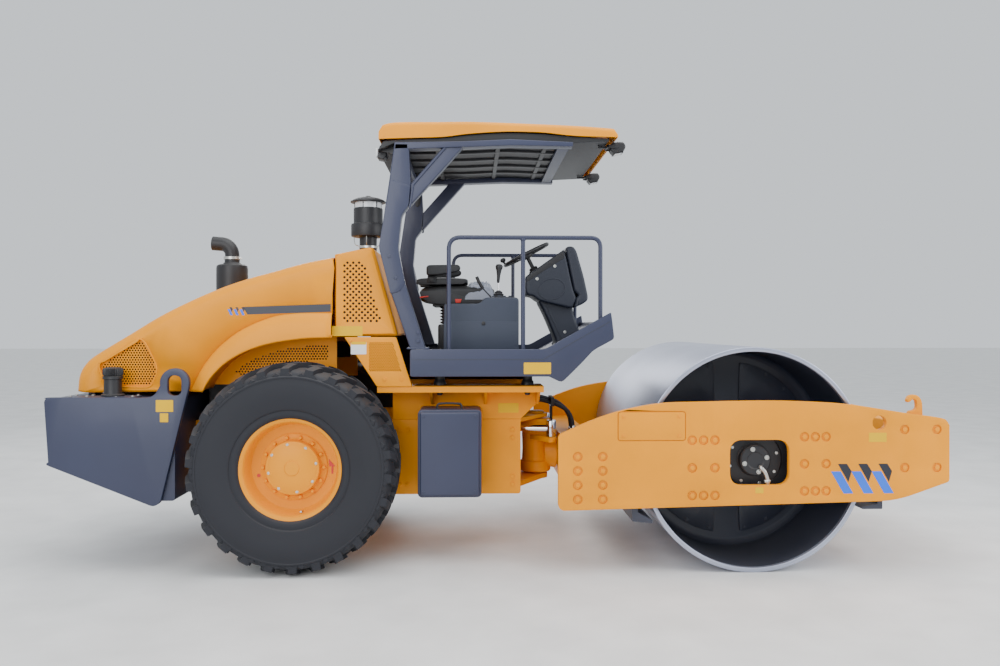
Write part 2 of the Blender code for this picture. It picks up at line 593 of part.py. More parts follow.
def build_rops():
    """One welded frame: two cranked posts, two roof beams, two braces and their cross members."""
    near = ROPS_Y
    far = ROPS_Y + ROPS_WIDTH
    foot = DECK_TOP + GAP
    post = [(-0.598, foot), (-0.492, foot), (-0.646, 1.995), (-0.683, 2.202), (-0.661, 2.437),
            (-0.610, 2.503), (-0.595, 2.658), (-0.610, 2.906), (-0.709, 2.906), (-0.742, 2.701),
            (-0.815, 2.216), (-0.735, 1.899)]
    beam = [(-0.709, 2.895), (-0.235, 2.915), (0.105, 2.930), (0.539, 2.925)] + BEAM_TOP[::-1]
    brace = [(-0.605, 2.509), (-0.598, 2.665), (-0.361, 2.925), (-0.225, 2.925)]
    frame = None
    pieces = []
    for sign in SIDES.values():
        for outline in (post, beam, brace):
            piece = prism("rops", outline, *span(sign, near, far), material="blue_grey")
            if frame is None:
                frame = piece
            else:
                pieces.append(piece)
    reach = (-near - 0.010, near + 0.010)
    pieces.append(box("cross", (-0.700, -0.625), reach, (2.830, 2.900)))
    pieces.append(box("cross", (0.440, 0.520), reach, (2.928, 2.952)))
    union(frame, *pieces)
    frame.name = "rops_frame"


def build_roof():
    low = [(0.850, 2.994)] + ROOF_UNDER + [(-0.820, 2.970)]
    high = [(-0.776, 3.103), (-0.132, 3.112), (0.313, 3.098), (0.610, 3.086), (0.833, 3.073), (0.860, 3.040)]
    prism("roof", low + high, -ROOF_HALF, ROOF_HALF, material="yellow")
    liner = [(x, z - 2 * GAP) for x, z in ROOF_UNDER] + [(-0.790, 2.960), (-0.830, 2.880), (-0.790, 2.890)]
    liner += [(x, z + 2 * GAP) for x, z in BEAM_TOP] + [(0.800, 2.970)]
    prism("roof_liner", liner, -ROOF_HALF + 0.020, ROOF_HALF - 0.020, material="black")


def bend_points(corner, start, end, radius, steps=5):
    """Points of a bend at a corner between two straight runs."""
    corner = Vector(corner)
    first = (Vector(start) - corner).normalized() * radius
    last = (Vector(end) - corner).normalized() * radius
    points = []
    for step in range(steps + 1):
        share = step / steps
        points.append(corner + first * (1 - share) ** 2 + last * share ** 2)
    return points


def build_handrail(side, sign):
    y = sign * RAIL_Y
    foot = DECK_FLOOR + GAP
    front_x = 0.741
    front_foot = ramp_height(front_x) + 0.012
    rear = (-0.332, y, foot)
    corner = (-0.332, y, RAIL_TOP)
    front_corner = (front_x, y, RAIL_TOP)
    front = (front_x, y, front_foot)
    path = [rear] + bend_points(corner, rear, front_corner, 0.075)
    path += bend_points(front_corner, corner, front, 0.060) + [front]
    rail = tube("handrail_" + side, path, RAIL_RADIUS, "blue_grey")
    post = rod("post", (0.192, y, foot), (0.192, y, RAIL_TOP), RAIL_RADIUS, 10)
    union(rail, post)


def build_seat():
    floor = DECK_FLOOR + GAP
    base = box("seat_base", (-0.430, -0.080), (-0.200, 0.200), (floor, 1.680), "plastic")
    bellows = box("bellows", (-0.400, -0.100), (-0.170, 0.170), (1.670, 1.830))
    union(base, bellows)
    cushion = [(-0.560, 1.830 + GAP), (-0.020, 1.830 + GAP), (0.010, 1.880), (0.010, 1.950), (-0.030, 1.990),
               (-0.520, 1.960), (-0.570, 1.930)]
    prism("seat_cushion", cushion, -0.250, 0.250, material="plastic")
    folded = [(-0.600, 1.975), (-0.520, 1.960 + 2 * GAP), (-0.230, 1.9778 + 2 * GAP), (-0.200, 2.000),
              (-0.204, 2.025), (-0.225, 2.038), (-0.560, 2.043), (-0.590, 2.020)]
    back = prism("seat_back", folded, -0.240, 0.240, material="plastic")
    rest = [(-0.513, 1.995), (-0.440, 1.995), (-0.425, 2.045), (-0.270, 2.078), (-0.252, 2.105),
            (-0.270, 2.130), (-0.500, 2.126), (-0.513, 2.110)]
    union(back, *[prism("armrest", rest, *span(sign, 0.235, 0.315)) for sign in SIDES.values()])


def build_console():
    floor = DECK_FLOOR + GAP
    outline = [(-0.376, floor), (0.173, floor), (0.173, 1.860), (0.158, 1.875), (-0.073, 1.875),
               (-0.109, 1.829), (-0.376, 1.829)]
    prism("side_console_right", outline, -0.560, -0.300, material="plastic")
    prism("side_console_left", outline, 0.300, 0.560, material="plastic")


def ramp_height(x):
    """The height of the sloping floor at the front of the platform."""
    (x0, z0), (x1, z1) = RAMP
    return z0 + (z1 - z0) * (x - x0) / (x1 - x0)


def build_dashboard():
    outline = [(x, ramp_height(x) + 2 * GAP) for x in (0.480, 0.680)]
    outline += [(0.620, 1.790), (0.730, 1.830), (0.735, 1.905), (0.636, 2.282), (0.562, 2.282),
                (0.242, 2.035), (0.266, 1.921), (0.365, 1.856)]
    dashboard = prism("dashboard", outline, -0.210, 0.210, material="plastic")
    start = WHEEL_HUB - WHEEL_AXIS * (0.030 + RUNNING_GAP)
    union(dashboard, rod("shaft", start, start - WHEEL_AXIS * 0.150, 0.016, 16))


def build_steering_wheel():
    profile = arc((WHEEL_RING, 0), WHEEL_GRIP, 0, 300, 5)
    wheel = turned("steering_wheel", profile, WHEEL_HUB, WHEEL_TILT, 24, "black", closed=True)
    pieces = [rod("hub", WHEEL_HUB - WHEEL_AXIS * 0.030, WHEEL_HUB + WHEEL_AXIS * 0.010, 0.045, 24)]
    for x, y in arc((0, 0), WHEEL_RING, 90, 330, 2):
        end = WHEEL_HUB + WHEEL_TILT @ Vector((x, y, 0))
        pieces.append(rod("spoke", WHEEL_HUB - WHEEL_AXIS * 0.010, end, 0.010, 10))
    union(wheel, *pieces)


def build_lamps():
    for side, sign in SIDES.items():
        stem = box("front_lamp_" + side, (0.745, 0.840), span(sign, 0.605, 0.635), (2.946, 2.9665), "black")
        outline = [(0.826, 2.930), (0.850, 2.904), (0.922, 2.918), (0.940, 2.955), (0.925, 2.988),
                   (0.870, 2.990), (0.832, 2.982)]
        union(stem, prism("head", outline, *span(sign, 0.565, 0.675)))


def build_wheel(side, sign):
    centre = (AXLE_X, sign * TYRE_Y, AXLE_Z)
    half = TYRE_WIDTH / 2
    bead = half - BEAD_INSET
    side_wall = (TYRE_RADIUS + RIM_RADIUS) / 2 + 0.020
    outer = [(RIM_SEAT, bead), (RIM_RADIUS + 0.060, half - 0.025), (side_wall, half),
             (TYRE_RADIUS - 0.060, half - 0.020), (TYRE_RADIUS - 0.020, bead), (TYRE_RADIUS, half - 0.140)]
    ring = outer + [(radius, -height) for radius, height in outer[::-1]]
    turned("tyre_" + side, ring, centre, "Y", 40, "rubber", closed=True)


def build_rim(side, sign):
    centre = (AXLE_X, sign * TYRE_Y, AXLE_Z)
    bead = RIM_SEAT - GAP
    wall = bead - RIM_WALL
    half = TYRE_WIDTH / 2 - BEAD_INSET - 0.001
    outline = [(bead, -half), (bead, half), (wall, half), (wall, 0.075), (HUB_RADIUS, 0.050),
               (HUB_RADIUS, 0.110), (HUB_RADIUS - 0.025, 0.125), (0.001, 0.125), (0.001, -RIM_DISC),
               (HUB_RADIUS - 0.010, -RIM_DISC), (HUB_RADIUS, 0.010), (wall, 0.035), (wall, -half)]
    profile = [(radius, sign * height) for radius, height in outline]
    turned("rim_" + side, profile, centre, "Y", 40, "yellow", closed=True)


both_sides(build_side_plate)
build_beams()
both_sides(build_hook)
build_scrapers()
both_sides(build_drum_support)
build_drum()
build_yoke()
both_sides(build_cylinder)
build_chassis()
both_sides(build_rail)
build_axle()
build_engine()
build_counterweight()
build_filler()
both_sides(build_side_box)
build_hood()
build_exhaust()
build_cowl()
both_sides(build_lower_panel)
build_pre_cleaner()
build_deck()
build_rops()
build_roof()
both_sides(build_handrail)
build_seat()
build_console()
build_dashboard()
build_steering_wheel()
build_lamps()
both_sides(build_wheel)
both_sides(build_rim)
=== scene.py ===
import math

import bmesh
import bpy
import numpy as np
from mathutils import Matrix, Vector
from mathutils.geometry import delaunay_2d_cdt


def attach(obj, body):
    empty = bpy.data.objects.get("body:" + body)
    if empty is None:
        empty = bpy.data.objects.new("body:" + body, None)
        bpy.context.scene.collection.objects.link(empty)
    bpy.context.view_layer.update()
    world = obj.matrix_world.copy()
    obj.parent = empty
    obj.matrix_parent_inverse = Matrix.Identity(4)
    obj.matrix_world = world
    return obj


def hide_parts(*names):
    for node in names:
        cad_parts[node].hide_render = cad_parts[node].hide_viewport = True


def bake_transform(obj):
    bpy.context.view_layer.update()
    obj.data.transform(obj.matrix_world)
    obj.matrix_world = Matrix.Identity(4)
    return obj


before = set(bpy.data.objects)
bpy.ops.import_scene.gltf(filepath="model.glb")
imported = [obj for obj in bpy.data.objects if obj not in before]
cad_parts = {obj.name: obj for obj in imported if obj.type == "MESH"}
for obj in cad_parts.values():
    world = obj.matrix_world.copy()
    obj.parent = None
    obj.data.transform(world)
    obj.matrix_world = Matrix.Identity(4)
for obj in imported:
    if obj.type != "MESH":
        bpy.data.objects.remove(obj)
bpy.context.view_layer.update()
print("frame loaded:", len(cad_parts), "nodes")

sides = {"right": -1, "left": 1}

# view and light

cameraPlace = {"at": (-0.169, -6.740, 1.657), "turn": -1.98, "lens": 30.58, "shiftX": -0.0013, "shiftY":
    -0.0058}


def setCamera(place):
    data = bpy.data.cameras.new("sideView")
    data.lens = place["lens"]
    data.sensor_width = 36
    data.shift_x = place["shiftX"]
    data.shift_y = place["shiftY"]
    camera = bpy.data.objects.new("sideView", data)
    camera.location = place["at"]
    camera.rotation_euler = (math.radians(90), 0, math.radians(place["turn"]))
    bpy.context.collection.objects.link(camera)
    bpy.context.scene.camera = camera


setCamera(cameraPlace)

lightPlaces = {
    "overhead": {"at": (0.5, -2.0, 7.5), "aim": (0, 0, 1), "size": 7.0, "power": 430},
    "nearSide": {"at": (-3.5, -8.0, 3.8), "aim": (0, 0, 1.0), "size": 5.0, "power": 300},
    "noseSide": {"at": (6.5, -3.5, 3.5), "aim": (1, 0, 1.0), "size": 4.0, "power": 200},
    "farSide": {"at": (-2.0, 7.5, 5.0), "aim": (0, 0, 1.2), "size": 5.0, "power": 260},
}


def setLights(places):
    for name, place in places.items():
        data = bpy.data.lights.new(name, "AREA")
        data.size = place["size"]
        data.energy = place["power"]
        lamp = bpy.data.objects.new(name, data)
        lamp.location = place["at"]
        lamp.rotation_euler = (Vector(place["aim"]) - Vector(place["at"])).to_track_quat("-Z", "Y").to_euler()
        bpy.context.collection.objects.link(lamp)
    world = bpy.data.worlds.new("studio")
    bpy.context.scene.world = world
    world.use_nodes = True
    world.node_tree.nodes["Background"].inputs["Color"].default_value = (0.90, 0.95, 1.0, 1)
    world.node_tree.nodes["Background"].inputs["Strength"].default_value = 0.95


setLights(lightPlaces)

# shader groups


def newGroup(name, inputs, outputs):
    tree = bpy.data.node_groups.new(name, "ShaderNodeTree")
    for label, kind, value in inputs:
        socket = tree.interface.new_socket(label, in_out="INPUT", socket_type=kind)
        socket.default_value = value
    for label, kind in outputs:
        tree.interface.new_socket(label, in_out="OUTPUT", socket_type=kind)
    return tree, tree.nodes.new("NodeGroupInput"), tree.nodes.new("NodeGroupOutput")


def addNode(tree, kind, links=None, **settings):
    # make a node, set its fields or its sockets by name, and link its inputs
    node = tree.nodes.new(kind)
    for key, value in settings.items():
        if hasattr(node, key):
            setattr(node, key, value)
        else:
            node.inputs[key].default_value = value
    for socket, source in (links or {}).items():
        tree.links.new(source, node.inputs[socket])
    return node


def coatGroup():
    # sprayed paint: two noises vary the colour, dust settles on what faces up, fine waves make orange peel
    tree, put, out = newGroup("sprayedCoat", [("Colour", "NodeSocketColor", (0.8, 0.4, 0.1, 1)),
        ("Dust", "NodeSocketFloat", 0.15), ("Rough", "NodeSocketFloat", 0.35),
        ("Peel", "NodeSocketFloat", 0.02), ("Grain", "NodeSocketFloat", 240.0),],
        [("Colour", "NodeSocketColor"), ("Rough", "NodeSocketFloat"), ("Height", "NodeSocketFloat")])
    spot = addNode(tree, "ShaderNodeTexCoord")
    broad = addNode(tree, "ShaderNodeTexNoise", {"Vector": spot.outputs["Object"]}, Scale=2.3, Detail=5.0)
    fine = addNode(tree, "ShaderNodeTexNoise", {"Vector": spot.outputs["Object"],
        "Scale": put.outputs["Grain"]}, Detail=2.0)
    shade = addNode(tree, "ShaderNodeMapRange", {"Value": broad.outputs["Fac"]}, **{"From Min": 0.3,
        "From Max": 0.7, "To Min": 0.92, "To Max": 1.05})
    tinted = addNode(tree, "ShaderNodeVectorMath", {0: put.outputs["Colour"]}, operation="SCALE")
    tree.links.new(shade.outputs["Result"], tinted.inputs["Scale"])
    facing = addNode(tree, "ShaderNodeNewGeometry")
    upright = addNode(tree, "ShaderNodeSeparateXYZ", {0: facing.outputs["Normal"]})
    settled = addNode(tree, "ShaderNodeMapRange", {"Value": upright.outputs["Z"]},
        **{"From Min": 0.35, "From Max": 1.0})
    patchy = addNode(tree, "ShaderNodeMath", {0: settled.outputs["Result"], 1: broad.outputs["Fac"]},
        operation="MULTIPLY")
    amount = addNode(tree, "ShaderNodeMath", {0: patchy.outputs[0], 1: put.outputs["Dust"]},
        operation="MULTIPLY")
    dusted = addNode(tree, "ShaderNodeMix", {"Factor": amount.outputs[0]}, data_type="RGBA")
    tree.links.new(tinted.outputs[0], dusted.inputs[6])
    dusted.inputs[7].default_value = (0.62, 0.60, 0.56, 1)
    roughened = addNode(tree, "ShaderNodeMath", {0: amount.outputs[0], 1: put.outputs["Rough"]},
        operation="ADD")
    height = addNode(tree, "ShaderNodeMath", {0: fine.outputs["Fac"], 1: put.outputs["Peel"]},
        operation="MULTIPLY")
    tree.links.new(dusted.outputs[2], out.inputs["Colour"])
    tree.links.new(roughened.outputs[0], out.inputs["Rough"])
    tree.links.new(height.outputs[0], out.inputs["Height"])
    return tree


coatTree = coatGroup()


def coatMaterial(name, colour, rough=0.35, dust=0.15, peel=0.02, grain=240.0, metallic=0.0, coat=0.0,
        bump=0.1, specular=0.5, alpha=1.0):
    material = bpy.data.materials.new(name)
    material.use_nodes = True
    material.diffuse_color = (*colour, 1)
    tree = material.node_tree
    shader = tree.nodes["Principled BSDF"]
    settings = {"Metallic": metallic, "Coat Weight": coat, "Coat Roughness": 0.12, "Alpha": alpha,
        "Specular IOR Level": specular}
    for key, value in settings.items():
        shader.inputs[key].default_value = value
    group = addNode(tree, "ShaderNodeGroup", node_tree=coatTree, Colour=(*colour, 1), Rough=rough, Dust=dust,
        Peel=peel, Grain=grain)
    relief = addNode(tree, "ShaderNodeBump", {"Height": group.outputs["Height"]}, Strength=bump,
        Distance=0.01)
    tree.links.new(group.outputs["Colour"], shader.inputs["Base Color"])
    tree.links.new(group.outputs["Rough"], shader.inputs["Roughness"])
    tree.links.new(relief.outputs["Normal"], shader.inputs["Normal"])
    return material


finishes = {
    "yellow": coatMaterial("warmYellowPaint", (0.87, 0.315, 0.0), 0.42, 0.03, 0.02, 300, coat=0.02,
                           specular=0.2),
    "blueGrey": coatMaterial("blueGreyPaint", (0.026, 0.032, 0.070), 0.42, 0.08, 0.05, 420, coat=0.1,
                             bump=0.2),
    "darkPaint": coatMaterial("drumInnerPaint", (0.028, 0.033, 0.055), 0.42, 0.10, 0.03, 200, coat=0.1),
    "steel": coatMaterial("rolledSteel", (0.44, 0.47, 0.58), 0.36, 0.18, 0.06, 90, metallic=0.85, bump=0.15),
    "rubber": coatMaterial("tyreRubber", (0.011, 0.012, 0.018), 0.72, 0.12, 0.06, 500, bump=0.3),
    "black": coatMaterial("satinBlack", (0.014, 0.014, 0.017), 0.45, 0.12, 0.03, 300),
    "plastic": coatMaterial("grainedPlastic", (0.028, 0.037, 0.062), 0.55, 0.10, 0.10, 700, bump=0.35),
    "darkPlastic": coatMaterial("dashPlastic", (0.014, 0.018, 0.032), 0.52, 0.08, 0.10, 600, bump=0.3),
    "vinyl": coatMaterial("seatVinyl", (0.014, 0.015, 0.018), 0.50, 0.08, 0.12, 380, bump=0.4),
    "iron": coatMaterial("engineCasting", (0.10, 0.10, 0.10), 0.6, 0.2, 0.2, 120, bump=0.4),
    "chrome": coatMaterial("hardChrome", (0.75, 0.75, 0.78), 0.12, 0.05, 0.0, 200, metallic=1.0),
    "zinc": coatMaterial("zincPlate", (0.55, 0.55, 0.52), 0.30, 0.10, 0.02, 200, metallic=0.9),
    "sticker": coatMaterial("yellowSticker", (0.80, 0.47, 0.0), 0.45, 0.02, 0.0, 200, specular=0.15),
    "blueStripe": coatMaterial("blueStripe", (0.025, 0.15, 0.80), 0.36, 0.02, 0.0, 200, specular=0.3),
    "darkStripe": coatMaterial("darkStripe", (0.016, 0.018, 0.030), 0.35, 0.03, 0.0, 200),
    "whiteLabel": coatMaterial("whiteLabel", (0.75, 0.75, 0.75), 0.4, 0.03, 0.0, 200),
    "redMark": coatMaterial("redPaintMark", (0.60, 0.03, 0.02), 0.5, 0.02, 0.0, 200),
    "lampGlass": coatMaterial("lampGlass", (0.75, 0.77, 0.80), 0.15, 0.05, 0.02, 300, coat=0.5),
    # painted shade: a near-black for the sheets and discs that stand in for the shade behind holes and inside
    # openings
    "paintedShade": coatMaterial("shadowBlack", (0.006, 0.006, 0.007), 0.9, 0.0, 0.0, 200),
    "film": coatMaterial("crumpledFilm", (0.50, 0.54, 0.66), 0.20, 0.0, 0.5, 60, bump=0.9, alpha=0.55),
}
print("finishes made:", len(finishes))

# mesh helpers; a part is (points, list of face arrays), and parts are joined into one piece

weldDistance = 0.00001


def makePiece(name, parts, finish, body, stands=(), smooth=35, wall=0.0):
    # join the parts, weld them, give them a finish and tell the frame where the piece belongs
    points, faces, start = [], [], 0
    for partPoints, partFaces in parts:
        partPoints = np.asarray(partPoints, float).reshape(-1, 3)
        points.append(partPoints)
        for block in partFaces:
            faces += (np.asarray(block) + start).tolist()
        start += len(partPoints)
    mesh = bpy.data.meshes.new(name)
    mesh.from_pydata(np.concatenate(points).tolist(), [], faces)
    work = bmesh.new()
    work.from_mesh(mesh)
    bmesh.ops.remove_doubles(work, verts=work.verts, dist=weldDistance)
    bmesh.ops.recalc_face_normals(work, faces=work.faces)
    work.to_mesh(mesh)
    work.free()
    mesh.validate()
    mesh.shade_smooth()
    mesh.set_sharp_from_angle(angle=math.radians(smooth))
    piece = bpy.data.objects.new(name, mesh)
    bpy.context.collection.objects.link(piece)
    mesh.materials.append(finishes[finish])
    if wall:
        skin = piece.modifiers.new("wall", "SOLIDIFY")
        skin.thickness = wall
        skin.offset = -1
    if body:
        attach(piece, body)
    if stands:
        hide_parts(*stands)
    return piece


def gridFaces(rows, columns, closeRows=False, closeColumns=False):
    # quads between neighbours on a grid of points
    r = np.arange(rows if closeRows else rows - 1)
    c = np.arange(columns if closeColumns else columns - 1)
    r, c = np.meshgrid(r, c, indexing="ij")
    r2, c2 = (r + 1) % rows, (c + 1) % columns
    return np.stack([r * columns + c, r * columns + c2, r2 * columns + c2, r2 * columns + c],
        -1).reshape(-1, 4)


def smoothCurve(points, steps=8, closed=False):
    # a Catmull-Rom curve through points, evaluated as whole arrays
    p = np.asarray(points, float)
    if closed:
        a, b, c, d = np.roll(p, 1, 0), p, np.roll(p, -1, 0), np.roll(p, -2, 0)
    else:
        ext = np.concatenate([[2 * p[0] - p[1]], p, [2 * p[-1] - p[-2]]])
        a, b, c, d = ext[:-3], ext[1:-2], ext[2:-1], ext[3:]
    t = np.linspace(0, 1, steps, endpoint=False)[None, :, None]
    a, b, c, d = (v[:, None, :] for v in (a, b, c, d))
    curve = 0.5 * (2 * b + (c - a) * t + (2 * a - 5 * b + 4 * c - d) * t ** 2 + (3 * b - a - 3 * c + d)
        * t ** 3)
    curve = curve.reshape(-1, p.shape[1])
    return curve if closed else np.concatenate([curve, p[-1:]])


def roundCorners(points, radius, steps=5):
    # each corner becomes a quadratic curve that starts and ends radius from it
    p = np.asarray(points, float)
    reach = np.broadcast_to(np.asarray(radius, float), (len(p),))[:, None]
    before, after = np.roll(p, 1, 0) - p, np.roll(p, -1, 0) - p
    lengthB = np.linalg.norm(before, axis=1, keepdims=True)
    lengthA = np.linalg.norm(after, axis=1, keepdims=True)
    first = p + before / lengthB * np.minimum(reach, lengthB * 0.49)
    last = p + after / lengthA * np.minimum(reach, lengthA * 0.49)
    t = np.linspace(0, 1, steps + 1)[None, :, None]
    curve = first[:, None] * (1 - t) ** 2 + 2 * p[:, None] * t * (1 - t) + last[:, None] * t ** 2
    curve = curve.reshape(-1, p.shape[1])
    keep = np.linalg.norm(curve - np.roll(curve, 1, 0), axis=1) > 1e-6
    return curve[keep]


def circle(centre, radius, count=24, start=0.0):
    angle = np.linspace(0, 2 * math.pi, count, endpoint=False) + start
    return np.stack([centre[0] + radius * np.cos(angle), centre[1] + radius * np.sin(angle)], -1)


def arcPoints(centre, radius, start, end, count):
    angle = np.radians(np.linspace(start, end, count))
    return np.stack([centre[0] + radius * np.cos(angle), centre[1] + radius * np.sin(angle)], -1)


def standUp(flat, depth, axis):
    # put (a, b) points at a depth along an axis
    flat = np.asarray(flat, float)
    depth = np.broadcast_to(depth, flat.shape[:-1])
    order = {"Y": (flat[..., 0], depth, flat[..., 1]), "X": (depth, flat[..., 0], flat[..., 1]),
        "Z": (flat[..., 0], flat[..., 1], depth)}[axis]
    return np.stack(order, -1)


def signedArea(loop):
    x, y = loop[:, 0], loop[:, 1]
    return 0.5 * np.sum(x * np.roll(y, -1) - np.roll(x, -1) * y)


def insetLoop(loop, amount):
    # move each side of a loop inwards by amount, to its left when it runs anticlockwise
    ahead = np.roll(loop, -1, 0) - loop
    ahead /= np.linalg.norm(ahead, axis=1, keepdims=True)
    normal = np.stack([-ahead[:, 1], ahead[:, 0]], -1)
    back = np.roll(normal, 1, 0)
    miter = normal + back
    miter /= np.maximum(np.sum(miter * normal, axis=1, keepdims=True), 0.5)
    return loop + miter * amount


def fillLoops(loops):
    # triangles between an outline and its holes, as indices into the loops' points in order
    points = np.concatenate(loops)
    faces, start = [], 0
    for loop in loops:
        faces.append(list(range(start, start + len(loop))))
        start += len(loop)
    filled = delaunay_2d_cdt([Vector(p) for p in points], [], faces, 2, 1e-7)
    places, origin = np.array([tuple(v) for v in filled[0]]), filled[3]
    home = [o[0] if o else int(np.argmin(np.sum((points - places[i]) ** 2, 1))) for i, o in enumerate(origin)]
    return np.array([[home[v] for v in face] for face in filled[2]])


def slab(outline, low, high, axis="Y", edge=0.003, holes=(), steps=3):
    # an outline with holes, extruded from low to high, its edges rolled over in a quarter circle
    loops = [np.asarray(outline, float)] + [np.asarray(h, float) for h in holes]
    loops = [loop if signedArea(loop) > 0 else loop[::-1] for loop in loops]
    angle = np.linspace(0, math.pi / 2, steps + 1) if edge else np.array([math.pi / 2])
    inset, rise = edge * (1 - np.sin(angle)), edge * (1 - np.cos(angle))
    levels = np.concatenate([low + rise, (high - rise)[::-1]])
    shifts = np.concatenate([inset, inset[::-1]])
    points, faces, start, rows = [], [], 0, len(levels)
    starts = []
    for number, loop in enumerate(loops):
        sign = 1 if number == 0 else -1
        stack = np.stack([standUp(insetLoop(loop, sign * s), d, axis) for s, d in zip(shifts, levels)])
        points.append(stack.reshape(-1, 3))
        faces.append(gridFaces(rows, len(loop), closeColumns=True) + start)
        starts.append(start)
        start += rows * len(loop)
    caps = fillLoops([insetLoop(loop, (1 if n == 0 else -1) * shifts[0]) for n, loop in enumerate(loops)])
    sizes = np.cumsum([0] + [len(loop) for loop in loops])
    which = np.searchsorted(sizes, caps, side="right") - 1
    lowIds = np.array(starts)[which] + caps - sizes[which]
    counts = np.array([len(loop) for loop in loops])[which]
    faces.append(lowIds)
    faces.append((lowIds + (rows - 1) * counts)[:, ::-1])
    return np.concatenate(points), faces


def pane(outline, sign, near, far, edge=0.003, holes=(), steps=3):
    # a slab upright on one side of the machine, between two distances from its middle plane
    return slab(outline, *spanOf(sign, near, far), "Y", edge, holes, steps)


def axisFrame(axis):
    axis = np.asarray(axis, float) / np.linalg.norm(axis)
    helper = np.array([0, 0, 1.0]) if abs(axis[2]) < 0.9 else np.array([1.0, 0, 0])
    across = np.cross(helper, axis)
    across /= np.linalg.norm(across)
    return across, np.cross(axis, across), axis


def turn(profile, centre, axis, count=48, closed=False):
    # radius and height along axis, carried round a full circle; the ends are filled unless closed
    profile = np.asarray(profile, float)
    across, up, along = axisFrame(axis)
    angle = np.linspace(0, 2 * math.pi, count, endpoint=False)
    ring = np.cos(angle)[:, None] * across + np.sin(angle)[:, None] * up
    points = np.asarray(centre, float) + profile[:, 1, None, None] * along + profile[:, 0, None, None] * ring
    faces = [gridFaces(len(profile), count, closeRows=closed, closeColumns=True)]
    if not closed:
        last = (len(profile) - 1) * count
        faces += [np.arange(count)[None, ::-1], np.arange(last, last + count)[None]]
    return points.reshape(-1, 3), faces


def sweep(section, path, up=(0, 0, 1), closed=False):
    # a closed section (side, up) carried along a path without twisting
    path = np.asarray(path, float)
    section = np.asarray(section, float)
    if closed:
        tangent = np.roll(path, -1, 0) - np.roll(path, 1, 0)
    else:
        tangent = np.gradient(path, axis=0)
    tangent /= np.linalg.norm(tangent, axis=1, keepdims=True)
    side = np.cross(tangent, np.asarray(up, float))
    side /= np.linalg.norm(side, axis=1, keepdims=True)
    over = np.cross(side, tangent)
    points = path[:, None] + (section[None, :, 0, None] * side[:, None] + section[None, :, 1, None]
        * over[:, None])
    count = len(section)
    faces = [gridFaces(len(path), count, closeRows=closed, closeColumns=True)]
    if not closed:
        last = (len(path) - 1) * count
        faces += [np.arange(count)[None, ::-1], np.arange(last, last + count)[None]]
    return points.reshape(-1, 3), faces


def pipe(points, radius, sides=12, steps=8, up=(0.13, 0.21, 0.97), smooth=True):
    # a round tube along a smooth curve
    path = smoothCurve(points, steps) if smooth else np.asarray(points, float)
    return sweep(circle((0, 0), radius, sides), path, up)


def bolt(place, axis, radius, height, washer=1.35):
    # a washer and a head with a worn, slightly domed top
    flange = turn([(radius * washer, 0.0), (radius * washer, 0.003)], place, axis, 20)
    head = turn([(radius, 0.003), (radius, height * 0.85), (radius * 0.8, height), (radius * 0.3, height)],
        place, axis, 6)
    return [flange, head]


def bolts(places, axis, **sizes):
    parts = []
    for place in places:
        parts += bolt(place, axis, **sizes)
    return parts


def honeycomb(outline, pitch, hole, sides=6, margin=0.006, rise=0.866):
    # staggered holes whose centres lie inside an outline, as a list of loops
    outline = np.asarray(outline, float)
    low, high = outline.min(0), outline.max(0)
    rows = np.arange(low[1] + pitch / 2, high[1], pitch * rise)
    loops = []
    for number, z in enumerate(rows):
        x = np.arange(low[0] + pitch * (0.5 if number % 2 else 1.0), high[0], pitch)
        for centre in zip(x, np.full(len(x), z)):
            if insideLoop(outline, centre, hole + margin):
                loops.append(circle(centre, hole, sides, math.pi / 6))
    return loops


def insideLoop(loop, point, margin):
    # crossing test, and the distance to every side is at least the margin
    a, b = loop, np.roll(loop, -1, 0)
    p = np.asarray(point, float)
    spanning = (a[:, 1] > p[1]) != (b[:, 1] > p[1])
    rise = np.where(b[:, 1] == a[:, 1], 1e-12, b[:, 1] - a[:, 1])
    crossing = a[:, 0] + (p[1] - a[:, 1]) * (b[:, 0] - a[:, 0]) / rise
    if np.count_nonzero(spanning & (p[0] < crossing)) % 2 == 0:
        return False
    along = b - a
    share = np.clip(np.sum((p - a) * along, 1) / np.maximum(np.sum(along ** 2, 1), 1e-12), 0, 1)
    return np.min(np.linalg.norm(a + along * share[:, None] - p, axis=1)) >= margin


labelThickness = 0.0012


def sticker(name, body, sign, x, z, width, height, y, finish="sticker"):
    # a thin blank label on an upright face
    corners = np.array([(-width, -height), (width, -height), (width, height), (-width, height)]) / 2
    outline = roundCorners(corners + (x, z), 0.004, 3)
    makePiece(name, [pane(outline, sign, y, y + labelThickness, 0.0)], finish, body)


def spanOf(sign, near, far):
    return sorted((sign * near, sign * far))


def rectangle(low, high):
    return np.array([(low[0], low[1]), (high[0], low[1]), (high[0], high[1]), (low[0], high[1])])


def planOf(sign, rear, front, near, far):
    # a rectangle on the ground plan of one side of the machine
    low, high = spanOf(sign, near, far)
    return rectangle((rear, low), (front, high))


# front frame: side plates with their windows, bolts, access covers and stripes

